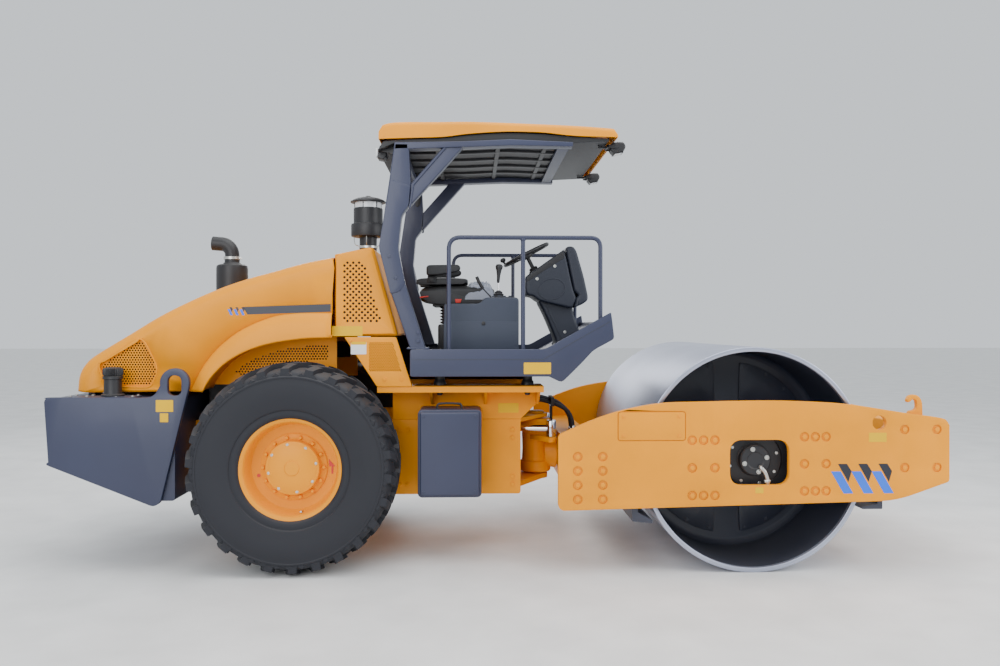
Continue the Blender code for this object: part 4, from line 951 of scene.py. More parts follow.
def buildHood():
    points, shoulder = hoodShell()
    rows, columns = points.shape[:2]
    crease = smoothCurve(flareCrease, 4)
    lip = smoothCurve(flareLip, 4)
    shell = (points.reshape(-1, 3), [gridFaces(rows, columns)])
    sideOutline = np.concatenate([shoulder, crease[:1] + (-0.012, 0), crease, [(hood["front"], 1.90)]])
    sideOutline = sideOutline[np.linalg.norm(sideOutline - np.roll(sideOutline, 1, 0), axis=1) > 0.0005]
    opening = roundCorners(grille, 0.045, 6)
    flanks = []
    for side, sign in sides.items():
        loops = [sideOutline, opening]
        flanks.append((standUp(np.concatenate(loops), sign * hood["half"], "Y"), [fillLoops(loops)]))
        rim = sweep(circle((0, 0), 0.005, 10), standUp(opening, sign * (hood["half"] - 0.001), "Y"),
            (0, 1, 0), closed=True)
        makePiece(side + "GrilleRim", [rim], "yellow", "hood")
        field = insetLoop(opening if signedArea(opening) > 0 else opening[::-1], 0.001)
        holes = honeycomb(field, 0.019, 0.0068, 6, 0.010)
        sheet = pane(insetLoop(field, -0.003), sign, hood["half"] - 0.030, hood["half"] - 0.027, 0, holes)
        makePiece(side + "GrilleSheet", [sheet], "yellow", "hood")
        returnWall = bandBetween(field, sign * (hood["half"] - 0.004), sign * (hood["half"] - 0.028))
        makePiece(side + "GrilleReturn", [returnWall], "yellow", "hood")
        # painted shade: a dark sheet behind the grille holes stands in for the shade inside the hood
        makePiece(side + "GrilleShade", [pane(field, sign, hood["half"] - 0.062, hood["half"] - 0.058, 0)],
            "paintedShade", "hood")
        flat, depth = bandAlong(crease, lip, 14, 0.820, hood["half"] - 0.001)
        hem = np.stack([lip, lip + (0.002, -0.006), lip + (0.002, -0.004), lip])
        hemDepth = np.array([0.818, 0.814, 0.804, 0.798])[:, None] * np.ones(len(lip))
        flat, depth = np.concatenate([flat, hem]), np.concatenate([depth, hemDepth])
        # the arch's ceiling runs from the lip in to the liner
        ceiling = np.stack([lip + (0, 0.010), lip + (0, 0.010)])
        flat = np.concatenate([flat, ceiling])
        depth = np.concatenate([depth, np.array([0.755, 0.560])[:, None] * np.ones(len(lip))])
        flare = np.stack([flat[..., 0], sign * depth, flat[..., 1]], -1)
        makePiece(side + "HoodFlare", [(flare.reshape(-1, 3), [gridFaces(*flare.shape[:2])])], "yellow",
            "hood", smooth=40, wall=0.004)
    makePiece("hoodShell", [shell] + flanks, "yellow", "hood", ["hood"], smooth=40, wall=0.005)
    return crease, lip


def bandBetween(loop, nearY, farY):
    flat = np.stack([loop, loop])
    depth = np.array([nearY, farY])[:, None] * np.ones(len(loop))
    points = np.stack([flat[..., 0], depth, flat[..., 1]], -1)
    return points.reshape(-1, 3), [gridFaces(2, len(loop), closeColumns=True)]


hoodCrease, hoodLip = buildHood()


def buildArchLiner():
    # the inner wall of each wheel arch, with an arc-shaped field of holes under the ceiling
    top = hoodLip + (0, 0.010)
    outline = np.concatenate([top, [(-1.145, 1.245), (-2.020, 1.245)]])
    arcTop = np.array([(-1.90, 1.330), (-1.80, 1.405), (-1.66, 1.470), (-1.50, 1.515), (-1.32, 1.535),
        (-1.20, 1.538)])
    arcLow = np.array([(-1.20, 1.405), (-1.34, 1.400), (-1.50, 1.375), (-1.64, 1.330), (-1.76, 1.270)])
    field = roundCorners(np.concatenate([smoothCurve(arcTop, 4), smoothCurve(arcLow, 4)]), 0.01, 2)
    for side, sign in sides.items():
        holes = honeycomb(field, 0.021, 0.0072, 6, 0.004)
        makePiece(side + "ArchLiner", [pane(outline, sign, 0.552, 0.560, 0, holes)], "yellow", "hood")
        # painted shade: a dark sheet behind the liner's holes stands in for the shade behind the arch
        makePiece(side + "ArchShade", [pane(field, sign, 0.520, 0.524, 0)], "paintedShade", "hood")


buildArchLiner()


def buildHoodMarks():
    y = hood["half"] + 0.0004
    stripe = [(-1.733, 1.745), (-1.765, 1.798), (-1.156, 1.819), (-1.156, 1.765)]
    for side, sign in sides.items():
        makePiece(side + "HoodStripe", [pane(stripe, sign, y, y + 0.001, 0)], "darkStripe", "hood")
        slantedBars(side, sign, "HoodBars", "hood", -1.871, 1.741, (0.017, 0.019, 0.0415), 0.041, y, 0.001)


buildHoodMarks()


exhaust = {"x": -2.050, "foot": 1.855, "pipe": 0.055}


def buildExhaust():
    low, centre = exhaust["foot"], (exhaust["x"], 0, 0)
    can = [(0.112, low), (0.112, low + 0.02), (0.120, low + 0.03), (0.1205, low + 0.20), (0.120, 2.120),
        (0.116, 2.138), (0.100, 2.148), (0.072, 2.152), (0.066, 2.160), (0.058, 2.166), (0.058, 2.185)]
    makePiece("muffler", [turn(can, centre, (0, 0, 1), 64)], "black", "hood", ["exhaust_stack"])
    angle = np.radians(np.linspace(0, 90, 9))
    centreLine = [(-2.050, 0, 2.150)] + [(-2.135 + 0.085 * math.cos(a), 0, 2.225 + 0.085 * math.sin(a))
        for a in angle] + [(-2.200, 0, 2.315)]
    outer = sweep(circle((0, 0), exhaust["pipe"], 32), centreLine, (0, 1, 0))
    makePiece("exhaustElbow", [outer], "black", "hood")
    # painted shade: a dark disc just inside the pipe's end stands in for the shade inside the pipe
    mouth = turn([(0.050, 0), (0.050, 0.0012), (0.02, 0.0014)], (-2.2001, 0, 2.315), (-1, 0, 0.08), 32)
    makePiece("exhaustMouthShade", [mouth], "paintedShade", "hood")
    clamp = [(0.061, 2.186), (0.065, 2.188), (0.065, 2.208), (0.061, 2.210), (0.056, 2.208), (0.056, 2.188)]
    screw = pipe([(-1.985, -0.03, 2.198), (-1.985, 0.03, 2.198)], 0.005, 8, 2, smooth=False)
    makePiece("exhaustClamp", [turn(clamp, centre, (0, 0, 1), 40, closed=True), screw], "zinc", "hood")
    base = slab(roundCorners(rectangle((-2.19, -0.145), (-1.91, 0.145)), 0.05, 5), 1.868, 1.878, "Z", 0.004)
    makePiece("exhaustFlange", [base], "black", "hood")


buildExhaust()
print("hood built")

# intake cowl, lower panels, air pre-cleaner

cowlOutline = [(-1.137, 1.592), (-0.689, 1.592), (-0.863, 2.229), (-1.137, 2.171)]


def buildCowl():
    body = roundCorners(cowlOutline, [0.004, 0.03, 0.045, 0.004], 6)
    makePiece("intakeCowl", [slab(body, -0.728, 0.728, "Y", 0.030, steps=6)], "yellow", "rear_frame",
        ["intake_cowl"], smooth=40)
    field = np.array([(-1.085, 1.680), (-0.795, 1.680), (-0.918, 2.125), (-1.085, 2.120)])
    holes = honeycomb(field, 0.041, 0.0086, 16, 0.001, rise=0.5)
    for side, sign in sides.items():
        panel = insetLoop(np.array(body), 0.020)
        makePiece(side + "CowlPanel", [pane(panel, sign, 0.730, 0.7345, 0.0015, holes)], "yellow",
            "rear_frame")
        # painted shade: a thin dark sheet behind the panel's holes stands in for the shade inside the cowl
        makePiece(side + "CowlShade", [pane(field, sign, 0.7283, 0.7292, 0)], "paintedShade", "rear_frame")
        sticker(side + "CowlLabel", "rear_frame", sign, -1.045, 1.630, 0.215, 0.070, 0.7347)


buildCowl()


def buildLowerPanels():
    outline = roundCorners([(-1.063, 1.588), (-0.700, 1.588), (-0.590, 1.2405), (-0.835, 1.2405)], 0.012, 4)
    mesh = np.array([(-0.893, 1.345), (-0.660, 1.345), (-0.722, 1.560), (-0.893, 1.560)])
    for side, sign in sides.items():
        holes = honeycomb(mesh, 0.0125, 0.0042, 6, 0.001)
        panel = pane(outline, sign, 0.750, 0.760, 0.002, holes)
        # painted shade: a dark sheet behind the mesh stands in for the shade behind the panel
        shadeBacking = pane(outline, sign, 0.722, 0.742, 0.002)
        makePiece(side + "LowerPanel", [panel], "yellow", "rear_frame", ["lower_panel_" + side])
        makePiece(side + "LowerPanelShade", [shadeBacking], "paintedShade", "rear_frame")
        sticker(side + "PanelLabel", "rear_frame", sign, -0.962, 1.510, 0.108, 0.086, 0.7602, "whiteLabel")
        sticker(side + "PanelLabelHead", "rear_frame", sign, -0.962, 1.545, 0.104, 0.020, 0.7614)
        heads = [(-0.78, sign * 0.760, 1.292), (-0.66, sign * 0.760, 1.292), (-1.02, sign * 0.760, 1.562)]
        makePiece(side + "PanelBolts", bolts(heads, (0, sign, 0), radius=0.011, height=0.009), "yellow",
            "rear_frame")


buildLowerPanels()


def buildPreCleaner():
    centre = (-0.945, -0.350, 0)
    neck = [(0.064, 2.195), (0.065, 2.325), (0.072, 2.330), (0.112, 2.330), (0.124, 2.334), (0.127, 2.342),
        (0.127, 2.418), (0.124, 2.426), (0.112, 2.429), (0.108, 2.432), (0.108, 2.540), (0.104, 2.545)]
    makePiece("preCleanerBody", [turn(neck, centre, (0, 0, 1), 72)], "black", "rear_frame", ["pre_cleaner"])
    cap = [(0.128, 2.586), (0.132, 2.589), (0.131, 2.595), (0.118, 2.606), (0.085, 2.620), (0.045, 2.629),
        (0.020, 2.631), (0.018, 2.638), (0.006, 2.640)]
    posts = [turn([(0.003, 2.540), (0.003, 2.590)], (centre[0] + 0.100 * math.cos(a), centre[1] + 0.100
        * math.sin(a), 0), (0, 0, 1), 10) for a in np.radians(np.arange(15, 375, 60))]
    core = turn([(0.070, 2.543), (0.062, 2.560), (0.062, 2.588)], centre, (0, 0, 1), 40)
    makePiece("preCleanerCap", [turn(cap, centre, (0, 0, 1), 72), core] + posts, "black", "rear_frame")
    window = turn([(0.099, 2.544), (0.099, 2.587)], centre, (0, 0, 1), 48)
    makePiece("preCleanerBand", [window], "lampGlass", "rear_frame")
    clips = []
    for a in np.radians((0, 90, 180, 270)):
        out = np.array([math.cos(a), math.sin(a), 0])
        clips.append(pipe([np.array(centre) + out * 0.066 + (0, 0, 2.262), np.array(centre) + out * 0.095
            + (0, 0, 2.275), np.array(centre) + out * 0.104 + (0, 0, 2.305), np.array(centre) + out * 0.104
            + (0, 0, 2.340)], 0.003, 8, 6, up=(0.3, 0.2, 0.1)))
    band = [(0.0665, 2.245), (0.070, 2.247), (0.070, 2.263), (0.0665, 2.265), (0.064, 2.263), (0.064, 2.247)]
    makePiece("preCleanerClips", clips + [turn(band, centre, (0, 0, 1), 48, closed=True)], "zinc",
        "rear_frame")


buildPreCleaner()


def buildEngine():
    parts = [slab(roundCorners(rectangle((-2.140, 1.000), (-1.300, 1.250)), 0.03, 4), -0.300, 0.300, "Y",
        0.012), slab(roundCorners(rectangle((-2.060, 1.230), (-1.340, 1.470)), 0.03, 4), -0.230, 0.230, "Y",
        0.012), slab(roundCorners(rectangle((-2.000, 1.460), (-1.400, 1.560)), 0.04, 4), -0.160, 0.160, "Y",
        0.02)]
    for x in (-2.050, -1.500):
        parts.append(slab(rectangle((x, 0.981), (x + 0.100, 1.040)), -0.475, 0.475, "Y", 0.003))
    makePiece("engineBlock", parts, "iron", "rear_frame", ["engine_block"])
    runners = [pipe([(x, -0.20, 1.40), (x, -0.28, 1.43), (x + 0.02, -0.315, 1.36), (x + 0.02, -0.32, 1.28)],
        0.022, 14, 6) for x in np.linspace(-1.95, -1.45, 6)]
    fan = turn([(0.21, -2.145), (0.22, -2.150), (0.22, -2.170), (0.05, -2.176)], (0, 0, 1.24), (1, 0, 0), 40)
    filterCan = turn([(0.05, 0), (0.055, 0.01), (0.055, 0.17), (0.04, 0.185)], (-1.40, -0.315, 1.05),
        (0, 0, 1), 32)
    makePiece("engineParts", runners + [fan, filterCan], "black", "rear_frame")


buildEngine()


def buildSideBoxes():
    for side, sign in sides.items():
        outline = roundCorners(rectangle((-0.546, 0.469), (-0.102, 1.080)), 0.035, 6)
        parts = [pane(outline, sign, 0.4805, 0.812, 0.008, steps=4), pane(insetLoop(outline, 0.014), sign,
            0.806, 0.834, 0.014, steps=5)]
        makePiece(side + "SideBox", parts, "blueGrey", "rear_frame", ["side_box_" + side], smooth=35)
        grip = pipe([(-0.415, sign * 0.72, 1.075), (-0.412, sign * 0.72, 1.105), (-0.385, sign * 0.72, 1.117),
            (-0.272, sign * 0.72, 1.117), (-0.245, sign * 0.72, 1.105), (-0.242, sign * 0.72, 1.075)], 0.008,
            12, 6, up=(0, 1, 0))
        makePiece(side + "BoxHandle", [grip], "black", "rear_frame")
        heads = [(x, sign * 0.8335, z) for x in (-0.505, -0.143) for z in (0.512, 1.036)]
        makePiece(side + "BoxScrews", bolts(heads, (0, sign, 0), radius=0.009, height=0.006), "blueGrey",
            "rear_frame")


buildSideBoxes()


def buildCounterweight():
    eye = arcPoints((-2.171, 1.282), 0.098, -14, 190, 26)
    outline = np.concatenate([roundCorners([(-3.034, 0.738), (-2.310, 0.446), (-2.265, 0.476),
        (-2.0765, 1.250)], [0.03, 0.03, 0.02, 0.001], 5), eye, smoothCurve([(-2.282, 1.236), (-2.308, 1.202),
        (-2.368, 1.183), (-2.60, 1.184), (-2.996, 1.185), (-3.024, 1.176), (-3.034, 1.155)], 4)])
    outline = outline[np.linalg.norm(outline - np.roll(outline, 1, 0), axis=1) > 0.002]
    slot = roundCorners(rectangle((-2.217, 1.196), (-2.125, 1.332)), 0.045, 10)
    body = roundCorners([(-3.025, 0.760), (-2.330, 0.480), (-2.1805, 0.480), (-2.1805, 1.174),
        (-3.025, 1.174)], 0.02, 4)
    parts = [pane(outline, sign, 0.910, 0.950, 0.004, [slot]) for sign in (-1, 1)]
    parts.append(slab(body, -0.9105, 0.9105, "Y", 0.001))
    makePiece("counterweight", parts, "blueGrey", "rear_frame", ["counterweight"], smooth=30)
    for side, sign in sides.items():
        cover = roundCorners(planOf(sign, -2.920, -2.450, 0.760, 0.905), 0.02, 4)
        makePiece(side + "WeightCover", [slab(cover, 1.1743, 1.186, "Z", 0.004)], "blueGrey", "rear_frame")
        heads = [(x, sign * y, 1.186) for x in (-2.895, -2.780, -2.590, -2.475) for y in (0.785, 0.882)]
        makePiece(side + "WeightCoverBolts", bolts(heads, (0, 0, 1), radius=0.010, height=0.008), "zinc",
            "rear_frame")
        sticker(side + "WeightLabel", "rear_frame", sign, -2.236, 1.127, 0.115, 0.080, 0.9503)
        sticker(side + "WeightSmallLabel", "rear_frame", sign, -2.239, 1.048, 0.055, 0.060, 0.9503)
        hinge = roundCorners([(-2.900, 1.170), (-2.840, 1.170), (-2.855, 1.206), (-2.890, 1.206)], 0.008, 3)
        makePiece(side + "HoodHinge", [pane(hinge, sign, 0.480, 0.600, 0.003)], "blueGrey", "rear_frame")
    filler = (-2.627, -0.832, 0)
    neck = [(0.075, 1.1865), (0.075, 1.196), (0.070, 1.200), (0.060, 1.202), (0.058, 1.210), (0.058, 1.300),
        (0.066, 1.304), (0.066, 1.322), (0.058, 1.326), (0.05, 1.330)]
    makePiece("fillerNeck", [turn(neck, filler, (0, 0, 1), 48)], "black", "rear_frame", ["filler_cap"])
    count = 144
    angle = np.linspace(0, 2 * math.pi, count, endpoint=False)
    ribbed = 0.064 + 0.0025 * np.cos(angle * count / 4)
    layers = [(0.96, 1.328), (1.0, 1.333), (1.0, 1.368), (0.95, 1.376), (0.60, 1.382), (0.05, 1.384)]
    points = np.stack([np.stack([filler[0] + s * ribbed * np.cos(angle), filler[1] + s * ribbed
        * np.sin(angle), np.full(count, z)], -1) for s, z in layers])
    last = (len(layers) - 1) * count
    cap = (points.reshape(-1, 3), [gridFaces(len(layers), count, closeColumns=True),
        np.arange(count)[None, ::-1], np.arange(last, last + count)[None]])
    makePiece("fillerCapTop", [cap], "black", "rear_frame", smooth=50)


buildCounterweight()
print("rear body built")

# platform: deck, floor, handrails, roll-over frame and roof

deck = {"half": 0.820, "inside": 0.796, "floor": 1.440}


def buildDeck():
    skirt = roundCorners([(-0.600, 1.312), (0.370, 1.312), (0.459, 1.269), (0.592, 1.399), (0.681, 1.495),
        (0.829, 1.575), (0.815, 1.700), (0.806, 1.762), (0.341, 1.503), (-0.600, 1.503)], [0.02, 0.01, 0.03,
        0.05, 0.03, 0.02, 0.03, 0.01, 0.03, 0.02], 4)
    floorLine = roundCorners([(-0.598, 1.405), (0.380, 1.405), (0.745, 1.605), (0.800, 1.600), (0.795, 1.672),
        (0.770, 1.664), (0.370, 1.440), (-0.598, 1.440)], 0.004, 2)
    parts = [pane(skirt, sign, deck["half"] - 0.025, deck["half"], 0.005) for sign in (-1, 1)]
    parts.append(slab(floorLine, -deck["inside"], deck["inside"], "Y", 0.001))
    apron = roundCorners([(-0.598, 1.314), (-0.573, 1.314), (-0.573, 1.410), (-0.598, 1.410)], 0.003, 2)
    parts.append(slab(apron, -deck["inside"], deck["inside"], "Y", 0.001))
    nose = roundCorners([(0.459, 1.272), (0.592, 1.401), (0.681, 1.497), (0.827, 1.577), (0.812, 1.700),
        (0.790, 1.700), (0.800, 1.590), (0.668, 1.516), (0.575, 1.417), (0.450, 1.292)], 0.006, 2)
    parts.append(slab(nose, -deck["inside"], deck["inside"], "Y", 0.001))
    makePiece("platformDeck", parts, "blueGrey", "rear_frame", ["deck"], smooth=30)
    for side, sign in sides.items():
        seam = roundCorners([(-0.600, 1.429), (0.330, 1.429), (0.560, 1.560), (0.800, 1.694), (0.799, 1.700),
            (0.557, 1.566), (0.328, 1.4345), (-0.600, 1.4345)], 0.001, 1)
        makePiece(side + "DeckSeam", [pane(seam, sign, deck["half"] - 0.001, deck["half"] + 0.0012, 0)],
            "darkPaint", "rear_frame")
        sticker(side + "DeckLabel", "rear_frame", sign, 0.288, 1.370, 0.190, 0.080, deck["half"] + 0.0003)
        posts = []
        for x in (-0.400, 0.233):
            body = [(0.045, 1.241), (0.045, 1.262), (0.036, 1.275), (0.034, 1.290), (0.036, 1.305),
                (0.045, 1.318), (0.045, 1.400)]
            posts.append(turn(body, (x, sign * 0.600, 0), (0, 0, 1), 32))
        makePiece(side + "DeckMounts", posts, "black", "rear_frame")
    studs = []
    for x in np.arange(-0.06, 0.36, 0.032):
        for y in np.arange(-0.66, 0.67, 0.066):
            # every other stud lies across the machine
            lean = 0.5 * math.pi * (round((x + y) * 100) % 2)
            corners = rectangle((-0.011, -0.0035), (0.011, 0.0035))
            turnedCorners = corners @ np.array([[math.cos(lean), math.sin(lean)],
                [-math.sin(lean), math.cos(lean)]])
            studs.append(slab(turnedCorners + (x, y), 1.4395, 1.4418, "Z", 0))
    makePiece("floorTread", studs, "blueGrey", "rear_frame")


buildDeck()


def buildRops():
    post = roundCorners([(-0.598, 1.5035), (-0.492, 1.5035), (-0.646, 1.995), (-0.683, 2.202),
        (-0.661, 2.437), (-0.610, 2.503), (-0.595, 2.658), (-0.610, 2.940), (-0.709, 2.940), (-0.742, 2.701),
        (-0.815, 2.216), (-0.735, 1.899)], [0.002, 0.002, 0.03, 0.03, 0.03, 0.02, 0.03, 0.01, 0.01, 0.03,
        0.04, 0.03], 4)
    beam = [(-0.709, 2.895), (-0.235, 2.915), (0.105, 2.930), (0.539, 2.925), (0.539, 2.955), (0.105, 2.972),
        (-0.235, 2.955), (-0.709, 2.945)]
    brace = roundCorners([(-0.605, 2.500), (-0.598, 2.655), (-0.361, 2.925), (-0.225, 2.925)], 0.004, 2)
    parts = []
    for sign in (-1, 1):
        parts.append(pane(post, sign, 0.700, 0.810, 0.010, steps=4))
        parts.append(pane(beam, sign, 0.700, 0.810, 0.005))
        parts.append(pane(brace, sign, 0.712, 0.798, 0.008, steps=4))
        lip = roundCorners([(-0.612, 2.488), (-0.604, 2.520), (-0.585, 2.655), (-0.360, 2.916),
            (-0.352, 2.904), (-0.573, 2.648), (-0.590, 2.520), (-0.596, 2.490)], 0.004, 2)
        parts.append(pane(lip, sign, 0.790, 0.806, 0.002))
        foot = roundCorners([(-0.622, 1.504), (-0.470, 1.504), (-0.470, 1.516), (-0.622, 1.516)], 0.003, 2)
        parts.append(pane(foot, sign, 0.690, 0.818, 0.002))
        upper = roundCorners([(-0.683, 2.202), (-0.661, 2.437), (-0.610, 2.503), (-0.600, 2.640),
            (-0.735, 2.690), (-0.817, 2.214), (-0.735, 1.890), (-0.664, 1.905), (-0.635, 1.975)],
            [0.02, 0.02, 0.02, 0.02, 0.02, 0.03, 0.004, 0.05, 0.03], 5)
        parts.append(pane(upper, sign, 0.806, 0.816, 0.003))
    parts.append(slab(roundCorners(rectangle((-0.700, 2.830), (-0.625, 2.900)), 0.01, 3), -0.705, 0.705, "Y",
        0.001))
    parts.append(slab(rectangle((0.440, 2.928), (0.520, 2.952)), -0.705, 0.705, "Y", 0.001))
    makePiece("rollOverFrame", parts, "blueGrey", "rear_frame", ["rops_frame"], smooth=35)
    for side, sign in sides.items():
        places = [(-0.745, sign * 0.810, 2.150), (-0.700, sign * 0.810, 2.000),
            (-0.545, sign * 0.8105, 1.560), (-0.545, sign * 0.8105, 1.620)]
        makePiece(side + "RopsBolts", bolts(places, (0, sign, 0), radius=0.013, height=0.012), "blueGrey",
            "rear_frame")
        wing = roundCorners([(-0.835, 2.905), (-0.700, 2.880), (-0.655, 2.700), (-0.620, 2.720),
            (-0.600, 2.950), (-0.800, 2.965)], 0.02, 3)
        makePiece(side + "RoofBracket", [pane(wing, sign, 0.690, 0.699, 0.003)], "black", "rear_frame")


buildRops()


roof = {"rear": -0.820, "front": 0.860, "half": 0.790, "curl": 0.035}


def buildRoof():
    # the shell is two height curves over the plan, drawn down and in near the edge in a quarter circle
    topCurve = smoothCurve([(-0.820, 3.080), (-0.700, 3.104), (-0.420, 3.109), (-0.132, 3.112),
        (0.313, 3.099), (0.610, 3.087), (0.860, 3.070)], 8)
    lowCurve = smoothCurve([(-0.820, 2.972), (-0.573, 2.981), (-0.368, 2.989), (-0.220, 3.009),
        (-0.055, 3.023), (0.105, 3.030), (0.330, 3.025), (0.550, 3.004), (0.860, 2.996)], 6)
    x = np.linspace(roof["rear"], roof["front"], 70)
    high, low = np.interp(x, *topCurve.T), np.interp(x, *lowCurve.T)
    turnIn = np.linspace(0, math.pi / 2, 9)
    half, curl = roof["half"], roof["curl"]
    yTop = np.concatenate([[0.0, 0.25, 0.5], half - curl + curl * np.sin(turnIn)])
    drop = np.concatenate([[0.0, 0.002, 0.006], 0.010 + curl * (1 - np.cos(turnIn))])
    nearEnd = np.minimum(x - x[0], x[-1] - x)
    ease = np.clip(nearEnd / 0.040, 0, 1)
    ends = curl * (1 - np.sqrt(1 - (1 - ease) ** 2))
    # one more column at each end drops the skin to the lip, which closes the front and the back
    x = np.concatenate([[x[0] - 0.0005], x, [x[-1] + 0.0005]])
    high, low, ends = (np.pad(line, 1, mode="edge") for line in (high, low, ends))
    shut = np.zeros(len(x), bool)
    shut[[0, -1]] = True
    rows = []
    for y, d in zip(yTop, drop):
        height = np.where(shut, low, np.maximum(high - d - ends, low + 0.004))
        rows.append(np.stack([x, np.full(len(x), y), height], -1))
    for y, up in ((half, 0), (half - 0.015, 0), (half - 0.018, 0.02)):
        rows.append(np.stack([x, np.full(len(x), y), low + up], -1))
    rows = np.stack(rows)
    rows = np.concatenate([(rows * (1, -1, 1))[:0:-1], rows])
    closing = [gridFaces(*rows.shape[:2])]
    makePiece("roofShell", [(rows.reshape(-1, 3), closing)], "yellow", "rear_frame", ["roof"], smooth=45,
        wall=0.004)


buildRoof()


def buildLiner():
    under = np.array([(0.800, 2.990), (0.550, 3.001), (0.330, 3.020), (0.105, 3.026), (-0.055, 3.019),
        (-0.220, 3.005), (-0.368, 2.985), (-0.573, 2.977), (-0.790, 2.962)])
    low = np.array([(-0.830, 2.895), (-0.709, 2.948), (-0.235, 2.958), (0.105, 2.975), (0.539, 2.958),
        (0.800, 2.972)])
    outline = roundCorners(np.concatenate([under, low]), 0.006, 2)
    makePiece("roofLiner", [slab(outline, -0.768, 0.768, "Y", 0.004)], "vinyl", "rear_frame", ["roof_liner"])
    ribs = []
    for y in (-0.42, -0.14, 0.14, 0.42):
        curve = [(-0.66, y, 2.950), (-0.235, y, 2.957), (0.105, y, 2.972), (0.500, y, 2.958)]
        ribs.append(sweep(roundCorners(rectangle((-0.020, -0.016), (0.020, 0.006)), 0.005, 3),
            smoothCurve(curve, 8), (0, 0, 1)))
    for x, z in ((-0.42, 2.953), (0.02, 2.969), (0.36, 2.965)):
        ribs.append(slab(roundCorners(rectangle((x - 0.016, z - 0.014), (x + 0.016, z + 0.004)), 0.005, 3),
            -0.700, 0.700, "Y", 0.002))
    makePiece("linerRibs", ribs, "black", "rear_frame")


buildLiner()


def buildLamps():
    for side, sign in sides.items():
        head = roundCorners([(0.828, 2.930), (0.852, 2.905), (0.920, 2.919), (0.938, 2.955), (0.924, 2.987),
            (0.872, 2.989), (0.834, 2.981)], [0.008, 0.006, 0.006, 0.012, 0.014, 0.014, 0.01], 4)
        arm = pane(roundCorners([(0.745, 2.950), (0.835, 2.946), (0.835, 2.963), (0.745, 2.966)], 0.003, 2),
            sign, 0.607, 0.633, 0.002)
        ears = [pane(roundCorners([(0.800, 2.945), (0.870, 2.938), (0.885, 2.952), (0.870, 2.968),
            (0.800, 2.965)], 0.006, 3), sign, y0, y0 + 0.004, 0.001) for y0 in (0.558, 0.678)]
        cross = pane(roundCorners(rectangle((0.800, 2.947), (0.812, 2.965)), 0.002, 2), sign, 0.558, 0.682,
            0.001)
        fins = [pane(roundCorners([(x, 2.984), (x + 0.004, 2.984), (x + 0.004, 2.9925), (x, 2.9925)], 0.001,
            2), sign, 0.580, 0.660, 0.001) for x in (0.878, 0.890, 0.902, 0.914)]
        makePiece(side + "FrontLamp", [pane(head, sign, 0.566, 0.674, 0.010, steps=4)], "black", "rear_frame",
            ["front_lamp_" + side], smooth=40)
        makePiece(side + "LampBracket", [arm, cross] + ears, "black", "rear_frame")
        makePiece(side + "LampFins", fins, "black", "rear_frame")
        lensRim = [(0.850, 2.9055), (0.918, 2.9185), (0.919, 2.9140), (0.851, 2.9010)]
        lens = [(0.858, 2.9060), (0.911, 2.9165), (0.9116, 2.9120), (0.8586, 2.9015)]
        makePiece(side + "LampRim", [pane(lensRim, sign, 0.570, 0.670, 0.001)], "black", "rear_frame")
        makePiece(side + "LampLens", [pane([(x, z - 0.0010) for x, z in lens], sign, 0.578, 0.662, 0.001)],
            "lampGlass", "rear_frame")
        rear = roundCorners([(-0.845, 2.860), (-0.795, 2.850), (-0.775, 2.875), (-0.785, 2.945),
            (-0.825, 2.950)], 0.01, 3)
        makePiece(side + "RearLamp", [pane(rear, sign, 0.560, 0.680, 0.006)], "black", "rear_frame")
        glassSpan = spanOf(sign, 0.575, 0.665)
        glass = slab(roundCorners(rectangle((glassSpan[0], 2.868), (glassSpan[1], 2.935)), 0.01, 3), -0.852,
            -0.838, "X", 0.003)
        makePiece(side + "RearLampGlass", [glass], "lampGlass", "rear_frame")


buildLamps()


handrail = {"y": 0.745, "tube": 0.0155, "rear": -0.332, "middle": 0.192, "front": 0.741, "top": 2.290}


def buildHandrails():
    # one bent tube from the floor behind the step, over the top and down to the ramp, with a post between
    for side, sign in sides.items():
        y, tube, floor = sign * handrail["y"], handrail["tube"], deck["floor"] + 0.0005
        rear, middle, front, top = (handrail[key] for key in ("rear", "middle", "front", "top"))
        ramp = deck["floor"] + (front - 0.370) * (1.665 - 1.440) / 0.410
        corner = bendPath([(rear, y, floor), (rear, y, top), (front, y, top), (front, y, ramp + 0.010)],
            [0.085, 0.070])
        rail = sweep(circle((0, 0), tube, 20), corner, (0, 1, 0))
        post = pipe([(middle, y, floor), (middle, y, top - 0.008)], tube, 20, 2, smooth=False)
        cuffs = [turn([(0.017, 0.0), (0.034, 0.002), (0.034, 0.006), (0.017, 0.009)], (px, y, pz), (0, 0, 1),
            32) for px, pz in ((rear, floor), (middle, floor), (front, ramp + 0.004))]
        weld = turn([(tube, -0.014), (0.019, -0.008), (0.019, 0.0), (tube, 0.004)], (middle, y, top - 0.010),
            (0, 0, 1), 24)
        makePiece(side + "Handrail", [rail, post, weld] + cuffs, "blueGrey", "rear_frame",
            ["handrail_" + side], smooth=50)


def bendPath(points, radii):
    # straight runs joined by curves that start and end a radius from each corner
    points = [np.asarray(p, float) for p in points]
    path = [points[0]]
    for before, corner, after, radius in zip(points, points[1:], points[2:], radii):
        first = corner + (before - corner) / np.linalg.norm(before - corner) * radius
        last = corner + (after - corner) / np.linalg.norm(after - corner) * radius
        t = np.linspace(0, 1, 9)[:, None]
        path += list(first * (1 - t) ** 2 + 2 * corner * t * (1 - t) + last * t ** 2)
    return np.array(path + [points[-1]])


buildHandrails()
print("platform and roof built")

# operator's place: seat, side consoles, levers, dashboard and steering wheel


def squircle(count, power):
    # cosines, sines and the reach of a superellipse in each direction
    angle = np.linspace(0, 2 * math.pi, count, endpoint=False)
    c, s = np.cos(angle), np.sin(angle)
    return c, s, (np.abs(c) ** power + np.abs(s) ** power) ** (-1 / power)


